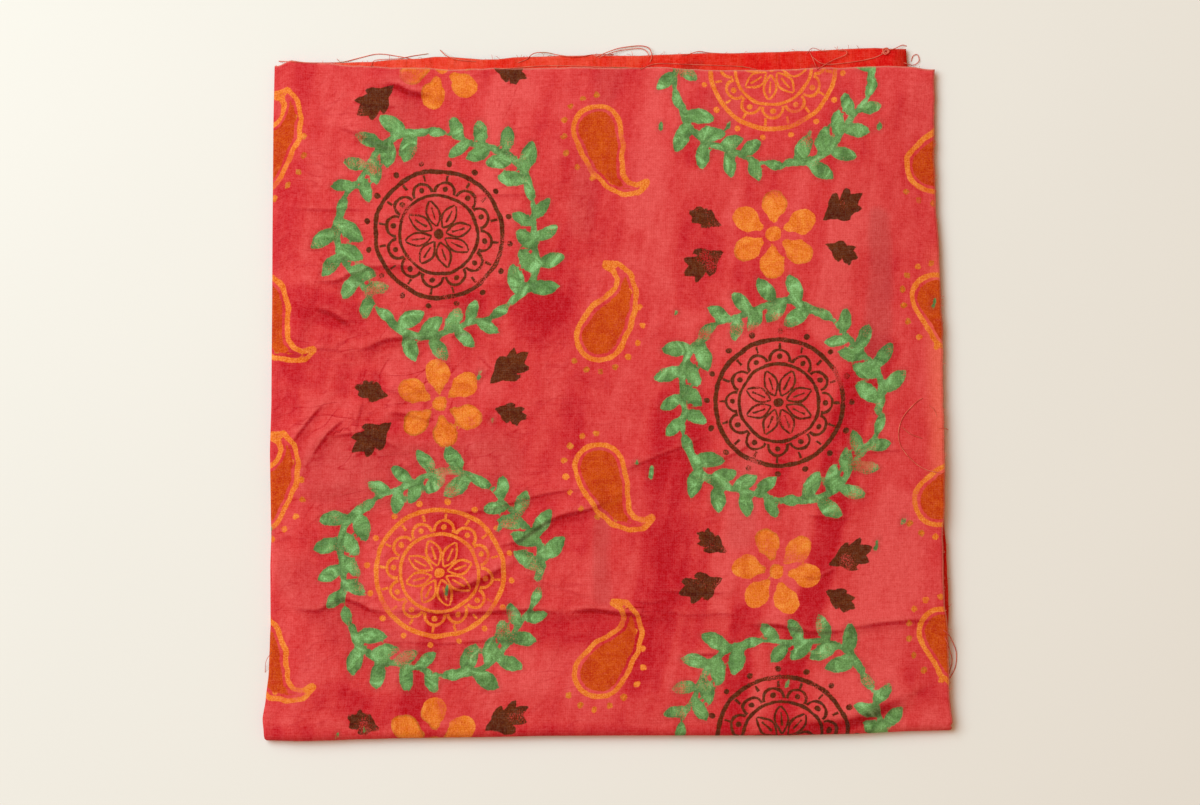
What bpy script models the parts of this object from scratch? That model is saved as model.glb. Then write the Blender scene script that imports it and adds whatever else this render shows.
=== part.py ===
"""A square of printed cotton, folded in four and lying flat: one sheet in four layers.

The square is folded twice. The first fold runs along the left side, so its section is a
hairpin of two layers. The second fold runs along the near side, so that hairpin is carried
along a U: over the top, round the near side and back underneath. All lengths are in metres
with +Z up. The origin is under the middle of the folded cloth, on the surface it lies on.
"""

import bisect
import math

import bmesh
import bpy

MM = 0.001

# Folded cloth: its plain square, which the tables below make uneven.
FOLDED_WIDTH = 225 * MM  # left fold to right edge
FOLDED_DEPTH = 225 * MM  # near fold to far edge
SHEET = 1.0 * MM  # thickness of one layer
LAYER_GAP = 0.6 * MM  # open space between two layers
LAYER_PITCH = SHEET + LAYER_GAP
LAYERS = 4

SIDE_FOLD_RADIUS = LAYER_PITCH / 2
OUTER_TURN = (LAYERS - 1) * LAYER_PITCH / 2  # middle of the outer layer, from the near fold's axis
INNER_TURN = LAYER_PITCH / 2
TURN_AXIS_HEIGHT = OUTER_TURN + SHEET / 2

# Faces along each way of the sheet: (zone, spans). Hidden layers take wide faces.
SPANS_ACROSS = (("inner", 12), ("fold", 5), ("outer", 28))
SPANS_ALONG = (("under", 10), ("fold", 8), ("over", 30))

# How far each layer's far edge lies past the plain square, in mm, by place across it.
FAR_EDGE = (
    # across, top, second, third, lowest
    (0.000, -0.3, -0.3, -0.6, -0.6),
    (0.020, 2.0, 1.2, -0.7, -0.7),
    (0.060, 0.9, 0.9, -0.9, -0.9),
    (0.140, -0.3, 1.5, -1.3, -1.1),
    (0.250, -1.7, 2.2, -1.9, -1.4),
    (0.430, -1.3, 3.0, -2.4, -1.9),
    (0.580, -1.5, 3.1, -2.9, -2.3),
    (0.700, -1.7, 4.1, -3.1, -2.7),
    (0.840, -1.3, 5.1, -3.6, -3.0),
    (1.000, -2.0, 5.4, -4.2, -3.4),
)

# How far each layer's right edge lies past the plain square, in mm, by place along it.
RIGHT_EDGE = (
    # along, top, second, third, lowest
    (0.00, 1.3, 0.2, 0.2, 1.3),
    (0.10, 0.6, 0.5, -0.6, 0.2),
    (0.18, -0.3, 1.1, -1.0, -0.8),
    (0.25, -0.3, 0.6, -1.3, -1.0),
    (0.31, -0.3, -0.3, -1.5, -1.1),
    (0.45, -0.7, -1.8, -1.9, -1.5),
    (0.60, -1.0, -3.9, -2.4, -2.3),
    (0.75, -2.0, -7.1, -3.3, -3.2),
    (0.87, -2.7, -9.8, -4.2, -4.0),
    (1.00, -3.7, -12.7, -5.2, -4.9),
)

# How far the left fold stands in from the plain square, in mm, by place along it.
LEFT_FOLD = (
    # along, top pair, lower pair
    (0.00, -1.9, -1.9),
    (0.03, -2.3, -1.7),
    (0.06, -1.2, -0.8),
    (0.12, -0.6, -0.2),
    (0.19, 0.3, 0.2),
    (0.25, 0.3, -0.4),
    (0.33, -0.2, 0.3),
    (0.50, 0.0, 0.7),
    (0.70, 0.3, 1.0),
    (0.90, 0.7, 1.4),
    (1.00, 1.0, 1.8),
)

# How far the near fold stands in from the plain square, in mm, by place across it.
NEAR_FOLD = (
    # across, outside of the fold
    (0.00, 0.0),
    (0.06, 0.5),
    (0.25, 0.7),
    (0.55, 0.7),
    (0.80, 1.0),
    (0.93, 1.9),
    (1.00, 2.7),
)

# Main creases of the top layer, in mm from the middle of the folded cloth: soft ridges, and
# troughs where the height is below zero. Each runs straight, so a bent crease takes two rows.
CREASES = (
    # start x, start y, end x, end y, half width, height
    (-104, -71, -88, -68, 6.0, 0.8),
    (-88, -68, -72, -73, 6.0, 0.9),
    (-72, -73, 15, -72, 6.0, 0.8),
    (18, -65, 38, -66, 6.0, 0.7),
    (46, -77, 67, -79, 6.0, 0.9),
    (67, -79, 110, -75, 6.0, 0.8),
    (-59, -67, -34, -57, 7.0, 1.3),
    (-58, -40, -5, -31, 7.0, 0.7),
    (-36, -51, -20, -43, 7.0, 1.0),
    (-20, -43, 0, -36, 7.0, 0.9),
    (-31, -58, -5, -67, 6.0, 0.6),
    (-4, -31, -4, -66, 6.0, 0.5),
    (4, -26, 34, -14, 8.0, 0.8),
    (31, -24, 50, -14, 7.0, 0.7),
    (64, -8, 78, -3, 8.0, 0.7),
    (-94, -3, -105, -17, 6.0, 1.3),
    (-86, -6, -98, -21, 6.0, 1.2),
    (-82, -14, -66, -18, 7.0, 0.8),
    (-83, 14, -60, 19, 7.0, 1.1),
    (-97, 29, -85, 22, 6.0, 1.2),
    (-97, 36, -83, 41, 6.0, 0.9),
    (-83, 41, -61, 41, 7.0, 0.9),
    (-70, 60, -54, 64, 7.0, 0.8),
    (-71, 102, -58, 99, 6.0, 1.4),
    (-88, 88, -64, 81, 7.0, 0.8),
    (68, -106, 99, -99, 8.0, 0.8),
    (-59, -90, 4, -92, 8.0, -0.5),
    (30, 40, 60, 70, 22.0, -0.5),
    (60, 20, 90, 60, 20.0, 0.5),
    (-40, 50, -10, 85, 20.0, 0.4),
)
CREASE_SHARE = {"top": 1.0, "second": 0.6, "third": 0.3, "lowest": 0.0}
CREASE_FADE = 9 * MM  # creases die out over this distance from either fold

CLOTH_COLOUR = (0.68, 0.06, 0.07, 1.0)
CLOTH_ROUGHNESS = 0.9


def clear_scene():
    """Remove whatever the scene holds."""
    for item in list(bpy.data.objects):
        bpy.data.objects.remove(item, do_unlink=True)


def smooth_step(value):
    """Ease from 0 to 1, flat at both ends."""
    value = min(max(value, 0.0), 1.0)
    return value * value * (3 - 2 * value)


def read_table(table, place, column):
    """Read a column of a table at a place between its rows, with eased steps, in metres."""
    places = [row[0] for row in table]
    after = min(max(bisect.bisect_right(places, place), 1), len(table) - 1)
    low, high = table[after - 1], table[after]
    share = (place - low[0]) / (high[0] - low[0])
    share = 0.5 * share + 0.5 * smooth_step(share)
    return (low[column] + (high[column] - low[column]) * share) * MM


def blend(first, second, share):
    """Go from the first value to the second."""
    return first + (second - first) * share


def stations(spans):
    """List (zone, share along the zone) for each grid line, from the hidden edge to the open one."""
    lines = [(spans[0][0], 0.0)]
    for zone, count in spans:
        lines += [(zone, step / count) for step in range(1, count + 1)]
    return lines


def place_across(zone, share):
    """Turn a station across the sheet into (place from the left fold, turn round that fold).

    The turn is 0 on an inner layer, 1 on an outer one and between them on the fold.
    """
    if zone == "inner":
        return 1.0 - share, 0.0
    if zone == "outer":
        return share, 1.0
    return 0.0, share


def place_along(zone, share):
    """Turn a station along the sheet into (place from the near fold, turn round that fold).

    The turn is 0 on the two layers underneath and 1 on the two above.
    """
    if zone == "under":
        return 1.0 - share, 0.0
    if zone == "over":
        return share, 1.0
    return 0.0, share


def edge_past_square(table, place, outer, over):
    """Read an edge table between its four layers."""
    upper = blend(read_table(table, place, 2), read_table(table, place, 1), outer)
    lower = blend(read_table(table, place, 3), read_table(table, place, 4), outer)
    return blend(lower, upper, over)


def crease_height(x, y):
    """Add up the creases that pass near a point."""
    height = 0.0
    for row in CREASES:
        x0, y0, x1, y1, half_width, rise = (value * MM for value in row)
        run_x, run_y = x1 - x0, y1 - y0
        along = ((x - x0) * run_x + (y - y0) * run_y) / (run_x * run_x + run_y * run_y)
        along = min(max(along, 0.0), 1.0)
        gap = math.hypot(x - x0 - along * run_x, y - y0 - along * run_y)
        height += rise * math.exp(-((gap / half_width) ** 2))
    return height


def crease_share(outer, over):
    """Say how much of the creases a layer takes."""
    upper = blend(CREASE_SHARE["second"], CREASE_SHARE["top"], outer)
    lower = blend(CREASE_SHARE["third"], CREASE_SHARE["lowest"], outer)
    return blend(lower, upper, over)


def folded_place(across, along):
    """Work out where a station of the flat sheet's middle lies once it is folded."""
    from_left, outer = place_across(*across)
    from_near, over = place_along(*along)

    left_in = blend(read_table(LEFT_FOLD, from_near, 2), read_table(LEFT_FOLD, from_near, 1), over)
    left = -FOLDED_WIDTH / 2 + left_in + SIDE_FOLD_RADIUS + SHEET / 2
    right = FOLDED_WIDTH / 2 + edge_past_square(RIGHT_EDGE, from_near, outer, over)
    x = blend(left, right, from_left)

    near_in = read_table(NEAR_FOLD, from_left, 1)
    near = -FOLDED_DEPTH / 2 + near_in + OUTER_TURN + SHEET / 2
    far = FOLDED_DEPTH / 2 + edge_past_square(FAR_EDGE, from_left, outer, over)
    y = blend(near, far, from_near)

    side_angle = math.pi * outer
    from_axis = blend(INNER_TURN, OUTER_TURN, 0.5) - SIDE_FOLD_RADIUS * math.cos(side_angle)
    x -= SIDE_FOLD_RADIUS * math.sin(side_angle)

    turn_angle = math.pi * (1 - over)
    y -= from_axis * math.sin(turn_angle)
    z = TURN_AXIS_HEIGHT + from_axis * math.cos(turn_angle)

    fade = smooth_step((x - left) / CREASE_FADE) * smooth_step((y - near) / CREASE_FADE)
    z += crease_height(x, y) * crease_share(outer, over) * fade
    return x, y, z


def middle_surface():
    """Make the sheet as a flat grid and fold it in four."""
    across = stations(SPANS_ACROSS)
    along = stations(SPANS_ALONG)
    last_column, last_row = len(across) - 1, len(along) - 1
    sheet = bmesh.new()
    bmesh.ops.create_grid(sheet, x_segments=last_column, y_segments=last_row, size=1.0)
    for vertex in sheet.verts:
        column = round((vertex.co.x + 1) / 2 * last_column)
        row = round((vertex.co.y + 1) / 2 * last_row)
        vertex.co = folded_place(across[column], along[row])
    return sheet


def centre_over_origin(sheet):
    """Move the sheet so that the middle of its outside stands over the origin.

    Both folds stand half a sheet's thickness outside the middle surface.
    """
    xs = [vertex.co.x for vertex in sheet.verts]
    ys = [vertex.co.y for vertex in sheet.verts]
    middle_x = (min(xs) - SHEET / 2 + max(xs)) / 2
    middle_y = (min(ys) - SHEET / 2 + max(ys)) / 2
    bmesh.ops.translate(sheet, verts=sheet.verts, vec=(-middle_x, -middle_y, 0.0))


def cloth_material():
    """Make the plain finish of the cloth."""
    material = bpy.data.materials.new("printed_cotton")
    material.use_nodes = True
    surface = material.node_tree.nodes["Principled BSDF"]
    surface.inputs["Base Color"].default_value = CLOTH_COLOUR
    surface.inputs["Roughness"].default_value = CLOTH_ROUGHNESS
    surface.inputs["Metallic"].default_value = 0.0
    return material


def folded_cloth():
    """Build the folded cloth as one closed solid."""
    sheet = middle_surface()
    centre_over_origin(sheet)
    bmesh.ops.recalc_face_normals(sheet, faces=sheet.faces)
    mesh = bpy.data.meshes.new("folded_cloth")
    sheet.to_mesh(mesh)
    sheet.free()
    mesh.shade_smooth()
    mesh.materials.append(cloth_material())
    cloth = bpy.data.objects.new("folded_cloth", mesh)
    bpy.context.scene.collection.objects.link(cloth)
    thickness = cloth.modifiers.new("sheet thickness", "SOLIDIFY")
    thickness.thickness = SHEET
    thickness.offset = 0.0
    thickness.use_even_offset = True
    thickness.use_rim = True
    return cloth


def main():
    clear_scene()
    folded_cloth()


if __name__ == "__main__":
    main()
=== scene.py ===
"""The looks of a square of printed cotton, folded in four and lying flat.

The sheet is one mesh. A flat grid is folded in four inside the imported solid's box, takes its
creases and gets its thickness. Whatever follows the cloth, such as the dye, the print and the
sharp line of a crease, is worked out over the flat cloth and kept on the mesh as attributes,
which the finishes read. Loose yarns and a fringe of short ends lie on it as pieces of their own.

Lengths are in millimetres up to the moment when a mesh is made, and in metres from there on.
The flat cloth has its own coordinates: s to the right and t away, both in millimetres and both
zero at the middle of the top layer, so that on that layer they are the folded cloth's x and y.
"""

import logging
import math
from collections.abc import Callable, Sequence
from dataclasses import dataclass, field
from enum import Enum
from functools import reduce

import bmesh
import bpy
import numpy as np
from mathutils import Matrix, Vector
from mathutils.bvhtree import BVHTree


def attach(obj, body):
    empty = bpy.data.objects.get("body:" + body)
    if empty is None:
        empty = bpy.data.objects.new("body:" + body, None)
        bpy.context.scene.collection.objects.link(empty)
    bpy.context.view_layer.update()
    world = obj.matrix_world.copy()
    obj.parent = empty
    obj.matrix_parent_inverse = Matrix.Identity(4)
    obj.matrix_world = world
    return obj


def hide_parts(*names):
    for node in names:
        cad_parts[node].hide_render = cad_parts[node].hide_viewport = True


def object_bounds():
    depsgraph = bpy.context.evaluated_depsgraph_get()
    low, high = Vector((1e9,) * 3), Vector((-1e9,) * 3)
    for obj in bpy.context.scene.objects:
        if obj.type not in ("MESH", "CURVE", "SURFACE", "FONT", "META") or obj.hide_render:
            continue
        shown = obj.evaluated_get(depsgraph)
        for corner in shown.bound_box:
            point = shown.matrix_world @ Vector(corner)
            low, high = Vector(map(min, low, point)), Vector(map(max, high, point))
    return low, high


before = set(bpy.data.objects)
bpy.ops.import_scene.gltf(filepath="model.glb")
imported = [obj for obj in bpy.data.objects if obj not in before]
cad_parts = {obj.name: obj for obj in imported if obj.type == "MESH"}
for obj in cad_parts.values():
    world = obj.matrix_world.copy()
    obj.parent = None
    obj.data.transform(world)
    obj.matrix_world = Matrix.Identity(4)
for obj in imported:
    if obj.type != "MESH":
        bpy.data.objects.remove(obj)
CAD_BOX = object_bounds()

MM = 0.001
BODY = "root"
CAD_NODE = "folded_cloth"

# The map and the attributes that hold what is worked out over the flat cloth.
FLAT_MAP = "cloth"
# The dye's depth, with the painted light and shade of the relief in it, the dullness and how crumpled each
# place is, one vector a point.
DYE_SHADE_CRUMPLE = "dye_shade_crumple"
ROSETTE = "rosette"

LOG = logging.getLogger("printed_cloth")

Array = np.ndarray
Place = tuple[float, float]
Route = tuple[Place, ...]
Table = tuple[tuple[float, ...], ...]
Colour = tuple[float, float, float, float]
Stops = tuple[tuple[float, Colour], ...]


class Face(Enum):
    """The three surfaces of the sheet, by material slot."""

    PRINTED = 0
    WRONG_SIDE = 1
    CUT_EDGE = 2


class Layer(Enum):
    """The four layers from the top, by (turn round the side fold, turn round the near fold)."""

    TOP = (1.0, 1.0)
    SECOND = (0.0, 1.0)
    THIRD = (0.0, 0.0)
    LOWEST = (1.0, 0.0)


# ---- Plain sums on arrays ----


def smooth_step(value: Array) -> Array:
    """Ease from 0 to 1, flat at both ends."""
    value = np.clip(value, 0.0, 1.0)
    return value * value * (3 - 2 * value)


def blend(first: Array, second: Array, share: Array) -> Array:
    """Go from the first value to the second."""
    return first + (second - first) * share


def read_table(table: Table, place: Array, column: int) -> Array:
    """Read a column of a table between its rows, with eased steps.

    Args:
        table: Rows whose first value is the place along an edge, from 0 to 1.
        place: Where to read it.
        column: Which value of the rows to read.

    Returns:
        The values at those places.
    """
    places = np.array([row[0] for row in table])
    values = np.array([row[column] for row in table])
    after = np.clip(np.searchsorted(places, place, side="right"), 1, len(table) - 1)
    share = (place - places[after - 1]) / (places[after] - places[after - 1])
    share = 0.5 * share + 0.5 * smooth_step(share)
    return blend(values[after - 1], values[after], share)


def smooth_route(points: Sequence[Sequence[float]], steps: int = 2) -> Array:
    """Run a smooth curve through given points.

    Args:
        points: The points, in two or three dimensions.
        steps: How many pieces each span between two points is cut into.

    Returns:
        The curve's points, one a row.
    """
    given = np.array(points, float)
    padded = np.vstack([2 * given[0] - given[1], given, 2 * given[-1] - given[-2]])
    curve = []
    for before, start, end, after in zip(padded, padded[1:], padded[2:], padded[3:]):
        for step in range(steps):
            share = step / steps
            curve.append(
                0.5 * (2 * start + (end - before) * share)
                + 0.5 * (2 * before - 5 * start + 4 * end - after) * share**2
                + 0.5 * (3 * start - before - 3 * end + after) * share**3
            )
    curve.append(given[-1])
    return np.array(curve)


@dataclass
class SoftNoise:
    """Smooth random heights over the plane, the same on each run.

    Attributes:
        seed: Picks the heights.
        lattice_side: How many heights the lattice holds each way before it repeats.
    """

    seed: int
    lattice_side: int = 64
    lattice: Array = field(init=False, repr=False)

    def __post_init__(self) -> None:
        """Draw the heights."""
        draw = np.random.default_rng(self.seed)
        self.lattice = draw.uniform(-1, 1, (self.lattice_side, self.lattice_side))

    def at(self, x: Array, y: Array, length: float, turn: float = 0.6) -> Array:
        """Read the heights.

        Args:
            x: Places to the right, in mm.
            y: Places away, in mm.
            length: Distance between two heights of the lattice, in mm.
            turn: Turn of the lattice, in radians, which keeps its rows off the weave's lines.

        Returns:
            Heights from -1 to 1.
        """
        across = (x * math.cos(turn) + y * math.sin(turn)) / length
        along = (y * math.cos(turn) - x * math.sin(turn)) / length
        column, row = np.floor(across).astype(int), np.floor(along).astype(int)
        share_across, share_along = smooth_step(across - column), smooth_step(along - row)
        side = self.lattice_side

        def corner(right: int, up: int) -> Array:
            """Pick a corner of each place's cell."""
            return self.lattice[(row + up) % side, (column + right) % side]

        near = blend(corner(0, 0), corner(1, 0), share_across)
        far = blend(corner(0, 1), corner(1, 1), share_across)
        return blend(near, far, share_along)


def route_field(x: Array, y: Array, route: Array) -> tuple[Array, ...]:
    """Measure places against a route drawn on the cloth.

    Args:
        x: Places to the right, in mm.
        y: Places away, in mm.
        route: The route's points, in order.

    Returns:
        The distance to the route, less than zero on its right, and the share of the route
        that is passed at its nearest point.
    """
    runs = np.diff(route, axis=0)
    lengths = np.hypot(runs[:, 0], runs[:, 1])
    passed = np.concatenate([[0.0], np.cumsum(lengths)])
    nearest = np.full(x.shape, np.inf)
    signed = np.full(x.shape, np.inf)
    share = np.zeros(x.shape)
    for index, ((from_x, from_y), (run_x, run_y), length) in enumerate(zip(route, runs, lengths)):
        away_x, away_y = x - from_x, y - from_y
        along = np.clip((away_x * run_x + away_y * run_y) / length**2, 0.0, 1.0)
        gap = np.hypot(away_x - along * run_x, away_y - along * run_y)
        closer = gap < nearest
        side = np.where(run_x * away_y - run_y * away_x < 0, -1.0, 1.0)
        nearest = np.where(closer, gap, nearest)
        signed = np.where(closer, gap * side, signed)
        share = np.where(closer, (passed[index] + along * length) / passed[-1], share)
    return signed, share


# ---- How the sheet is folded ----


# How far each layer's far edge lies past the plain square, by place across it.
FAR_EDGE: Table = (
    # across, top, second, third, lowest
    (0.000, -0.3, -0.3, -0.6, -0.6),
    (0.020, 1.7, 0.8, -0.9, -0.9),
    (0.060, 0.6, 0.5, -1.1, -1.1),
    (0.140, -0.5, 1.0, -1.4, -1.2),
    (0.250, -1.5, 2.6, -1.9, -1.4),
    (0.340, -1.2, 1.7, -2.2, -1.8),
    (0.430, -1.0, 3.0, -2.5, -2.0),
    (0.500, -1.0, 3.5, -2.7, -2.2),
    (0.580, -0.9, 3.2, -3.0, -2.4),
    (0.700, -1.8, 3.9, -3.2, -2.8),
    (0.840, -1.2, 4.6, -3.7, -3.1),
    (0.930, -0.4, 5.5, -3.9, -3.2),
    (1.000, -1.6, 5.5, -4.2, -3.4),
)

# How far each layer's right edge lies past the plain square, by place along it.
RIGHT_EDGE: Table = (
    # along, top, second, third, lowest
    (0.00, 2.3, 0.8, 0.6, 1.9),
    (0.04, 1.7, 1.2, 0.4, 1.2),
    (0.10, 1.2, 1.1, 0.0, 0.4),
    (0.15, 0.7, 1.0, -0.4, -0.2),
    (0.18, -0.1, 0.9, -0.7, -0.6),
    (0.24, -0.7, 0.5, -1.1, -0.9),
    (0.29, -0.6, 0.1, -1.3, -1.1),
    (0.33, -0.1, -0.3, -1.5, -1.1),
    (0.45, -0.3, -1.9, -1.9, -1.5),
    (0.60, -0.8, -4.0, -2.6, -2.4),
    (0.70, -1.8, -6.5, -3.5, -3.4),
    (0.80, -2.8, -8.8, -4.5, -4.3),
    (0.87, -3.6, -10.2, -5.2, -4.8),
    (1.00, -3.3, -12.7, -5.4, -5.0),
)

# How far the side fold stands in from the plain square, by place along it.
LEFT_FOLD: Table = (
    # along, top pair, lower pair
    (0.00, -2.4, -2.2),
    (0.02, -2.8, -2.1),
    (0.05, -1.7, -1.2),
    (0.09, -0.7, -0.4),
    (0.14, -0.3, -0.2),
    (0.19, 0.3, 0.2),
    (0.25, 0.3, -0.4),
    (0.33, 0.0, 0.4),
    (0.42, -0.3, 0.6),
    (0.50, 0.2, 0.8),
    (0.70, 0.5, 1.2),
    (0.90, 0.8, 1.5),
    (1.00, 1.1, 1.9),
)

# How far the near fold stands in from the plain square, by place across it.
NEAR_FOLD: Table = (
    # across, outside of the fold
    (0.00, -0.7),
    (0.05, -0.9),
    (0.09, -0.7),
    (0.13, -0.3),
    (0.20, 0.1),
    (0.30, 0.4),
    (0.42, 0.9),
    (0.55, 1.0),
    (0.75, 1.0),
    (0.85, 1.5),
    (0.95, 2.5),
    (1.00, 2.7),
)


@dataclass
class GridLines:
    """Grid lines along one way of the flat sheet, from its hidden edge to its open one.

    Attributes:
        from_fold: Place of each line from the fold, from 0 on it to 1 at the raw edge.
        turn: How far each line has gone round the fold, from 0 before it to 1 after it.
        flat: Place of each line on the flat cloth, in mm.
    """

    from_fold: Array
    turn: Array
    flat: Array

    @classmethod
    def laid(cls, spans: tuple[int, int, int], half: float, arc: float) -> "GridLines":
        """Lay the lines over a hidden half, a fold and an open half.

        Args:
            spans: Number of spans on the hidden half, the fold and the open half.
            half: Length of each half, in mm.
            arc: Length of cloth in the fold, in mm.

        Returns:
            The lines.
        """
        hidden, fold, shown = (np.linspace(0.0, 1.0, count + 1) for count in spans)
        from_fold = np.concatenate([1 - hidden, 0 * fold[1:], shown[1:]])
        turn = np.concatenate([0 * hidden, fold[1:], 0 * shown[1:] + 1])
        flat = np.concatenate([(hidden - 1) * half - arc, (fold[1:] - 1) * arc, shown[1:] * half])
        return cls(from_fold, turn, flat - half / 2)

    @property
    def ends(self) -> Place:
        """Places of the hidden edge and the open edge on the flat cloth, in mm."""
        return float(self.flat[0]), float(self.flat[-1])


@dataclass
class FoldPlan:
    """The folded cloth's shape: where each place of the flat sheet's middle ends up, in mm.

    Attributes:
        width: The plain square, from the side fold to the right edge.
        depth: The plain square, from the near fold to the far edge.
        sheet: Thickness of the cloth.
        pitch: From the middle of one layer to the middle of the next.
        spans_across: Spans of the inner half, the side fold and the outer half.
        spans_along: Spans of the under half, the near fold and the upper half.
        sag_reach: How far in from a raw edge the layers close up on each other.
        sag: How far each layer comes down at a raw edge, in the order of Layer.
        press_reach: How far in from each fold it is pressed down, the side fold first.
        pressed: The share of its height that each fold keeps.
        ragged_share: The share of each half over which its edge's raggedness comes in.
        middle: Where the plain square's middle stands.
    """

    width: float = 225.0
    depth: float = 225.0
    sheet: float = 0.42
    pitch: float = 1.69
    spans_across: tuple[int, int, int] = (40, 6, 190)
    spans_along: tuple[int, int, int] = (8, 8, 190)
    sag_reach: float = 36.0
    sag: tuple[float, ...] = (3.05, 2.05, 1.05, 0.0)
    press_reach: tuple[float, float] = (11.0, 17.0)
    pressed: tuple[float, float] = (0.78, 0.95)
    ragged_share: float = 1 / 12
    middle: Place = (0.20, -2.37)
    across: GridLines = field(init=False)
    along: GridLines = field(init=False)

    def __post_init__(self) -> None:
        """Lay the grid lines both ways."""
        self.across = GridLines.laid(self.spans_across, self.width, math.pi * self.pitch / 2)
        self.along = GridLines.laid(self.spans_along, self.depth, math.pi * self.pitch)

    @property
    def outer_turn(self) -> float:
        """Radius of the outer layer's middle round the near fold."""
        return 1.5 * self.pitch

    @property
    def spans(self) -> tuple[int, int]:
        """Number of spans across the sheet and along it."""
        return sum(self.spans_across), sum(self.spans_along)

    @property
    def flat_size(self) -> Place:
        """Width and length of the sheet before it was folded, in metres."""
        (left, right), (near, far) = self.across.ends, self.along.ends
        return (right - left) * MM, (far - near) * MM

    def by_layer(self, values: Sequence[Array | float], outer: Array, over: Array) -> Array:
        """Go from one layer's value to another's as the sheet goes round its folds."""
        top, second, third, lowest = values
        return blend(blend(third, lowest, outer), blend(second, top, outer), over)

    def edge(self, table: Table, place: Array, outer: Array, over: Array) -> Array:
        """Read an edge table for each place's own layer."""
        values = [read_table(table, place, column) for column in (1, 2, 3, 4)]
        return self.by_layer(values, outer, over)

    def folded(self, relief: "Relief", column: Array, row: Array) -> Array:
        """Fold the sheet.

        Args:
            relief: The creases that the layers take.
            column: Grid line across, for each point of the sheet.
            row: Grid line along, for each point of the sheet.

        Returns:
            A row of x, y and z in mm for each point of the sheet's middle.
        """
        from_left, outer = self.across.from_fold[column], self.across.turn[column]
        from_near, over = self.along.from_fold[row], self.along.turn[row]
        radius = self.pitch / 2

        upper, lower = read_table(LEFT_FOLD, from_near, 1), read_table(LEFT_FOLD, from_near, 2)
        left = self.middle[0] - self.width / 2 + blend(lower, upper, over) + radius + self.sheet / 2
        right = self.middle[0] + self.width / 2 + self.edge(RIGHT_EDGE, from_near, outer, over)
        x = blend(left, right, from_left)

        near = self.middle[1] - self.depth / 2 + self.outer_turn + self.sheet / 2
        near = near + read_table(NEAR_FOLD, from_left, 1)
        far = self.middle[1] + self.depth / 2 + self.edge(FAR_EDGE, from_left, outer, over)
        y = blend(near, far, from_near)

        x = x - radius * np.sin(math.pi * outer)
        from_axis = (radius + self.outer_turn) / 2 - radius * np.cos(math.pi * outer)
        y = y - from_axis * np.sin(math.pi * (1 - over))
        z = self.outer_turn + self.sheet / 2 + from_axis * np.cos(math.pi * (1 - over))

        open_edge = np.minimum((1 - from_left) * self.width, (1 - from_near) * self.depth)
        z = z - self.by_layer(self.sag, outer, over) * relief.sag_share(x, y, open_edge, self.sag_reach)
        fade = smooth_step((x - left) / relief.fade) * smooth_step((y - near) / relief.fade)
        fade = fade * blend(relief.edge_share, 1.0, smooth_step(open_edge / relief.calm))
        z = z + relief.height(x, y) * self.by_layer(relief.share, outer, over) * fade
        for from_fold, reach, kept in zip((x - left, y - near), self.press_reach, self.pressed):
            z = z * blend(kept, 1.0, smooth_step((from_fold + radius) / reach))
        ragged = relief.ragged_edge(x, y, outer, over)
        x = x + ragged * smooth_step(1 - (1 - from_left) / self.ragged_share)
        y = y + ragged * smooth_step(1 - (1 - from_near) / self.ragged_share)
        return np.stack([x, y, z], axis=-1)


# ---- Creases ----


@dataclass(frozen=True)
class Crease:
    """A crease of the top layer, drawn from left to right in mm from the cloth's middle.

    Attributes:
        route: The points that its crown passes.
        spread: How far its slope runs on the far side; the near side is steeper.
        height: How high it stands, or less than zero for a trough.
        line: How sharp and dark the line of painted shade under its crown is, from 0 to 1.
        width: Half the width of that line.
    """

    route: Route
    spread: float
    height: float
    line: float
    width: float = 0.6


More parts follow.
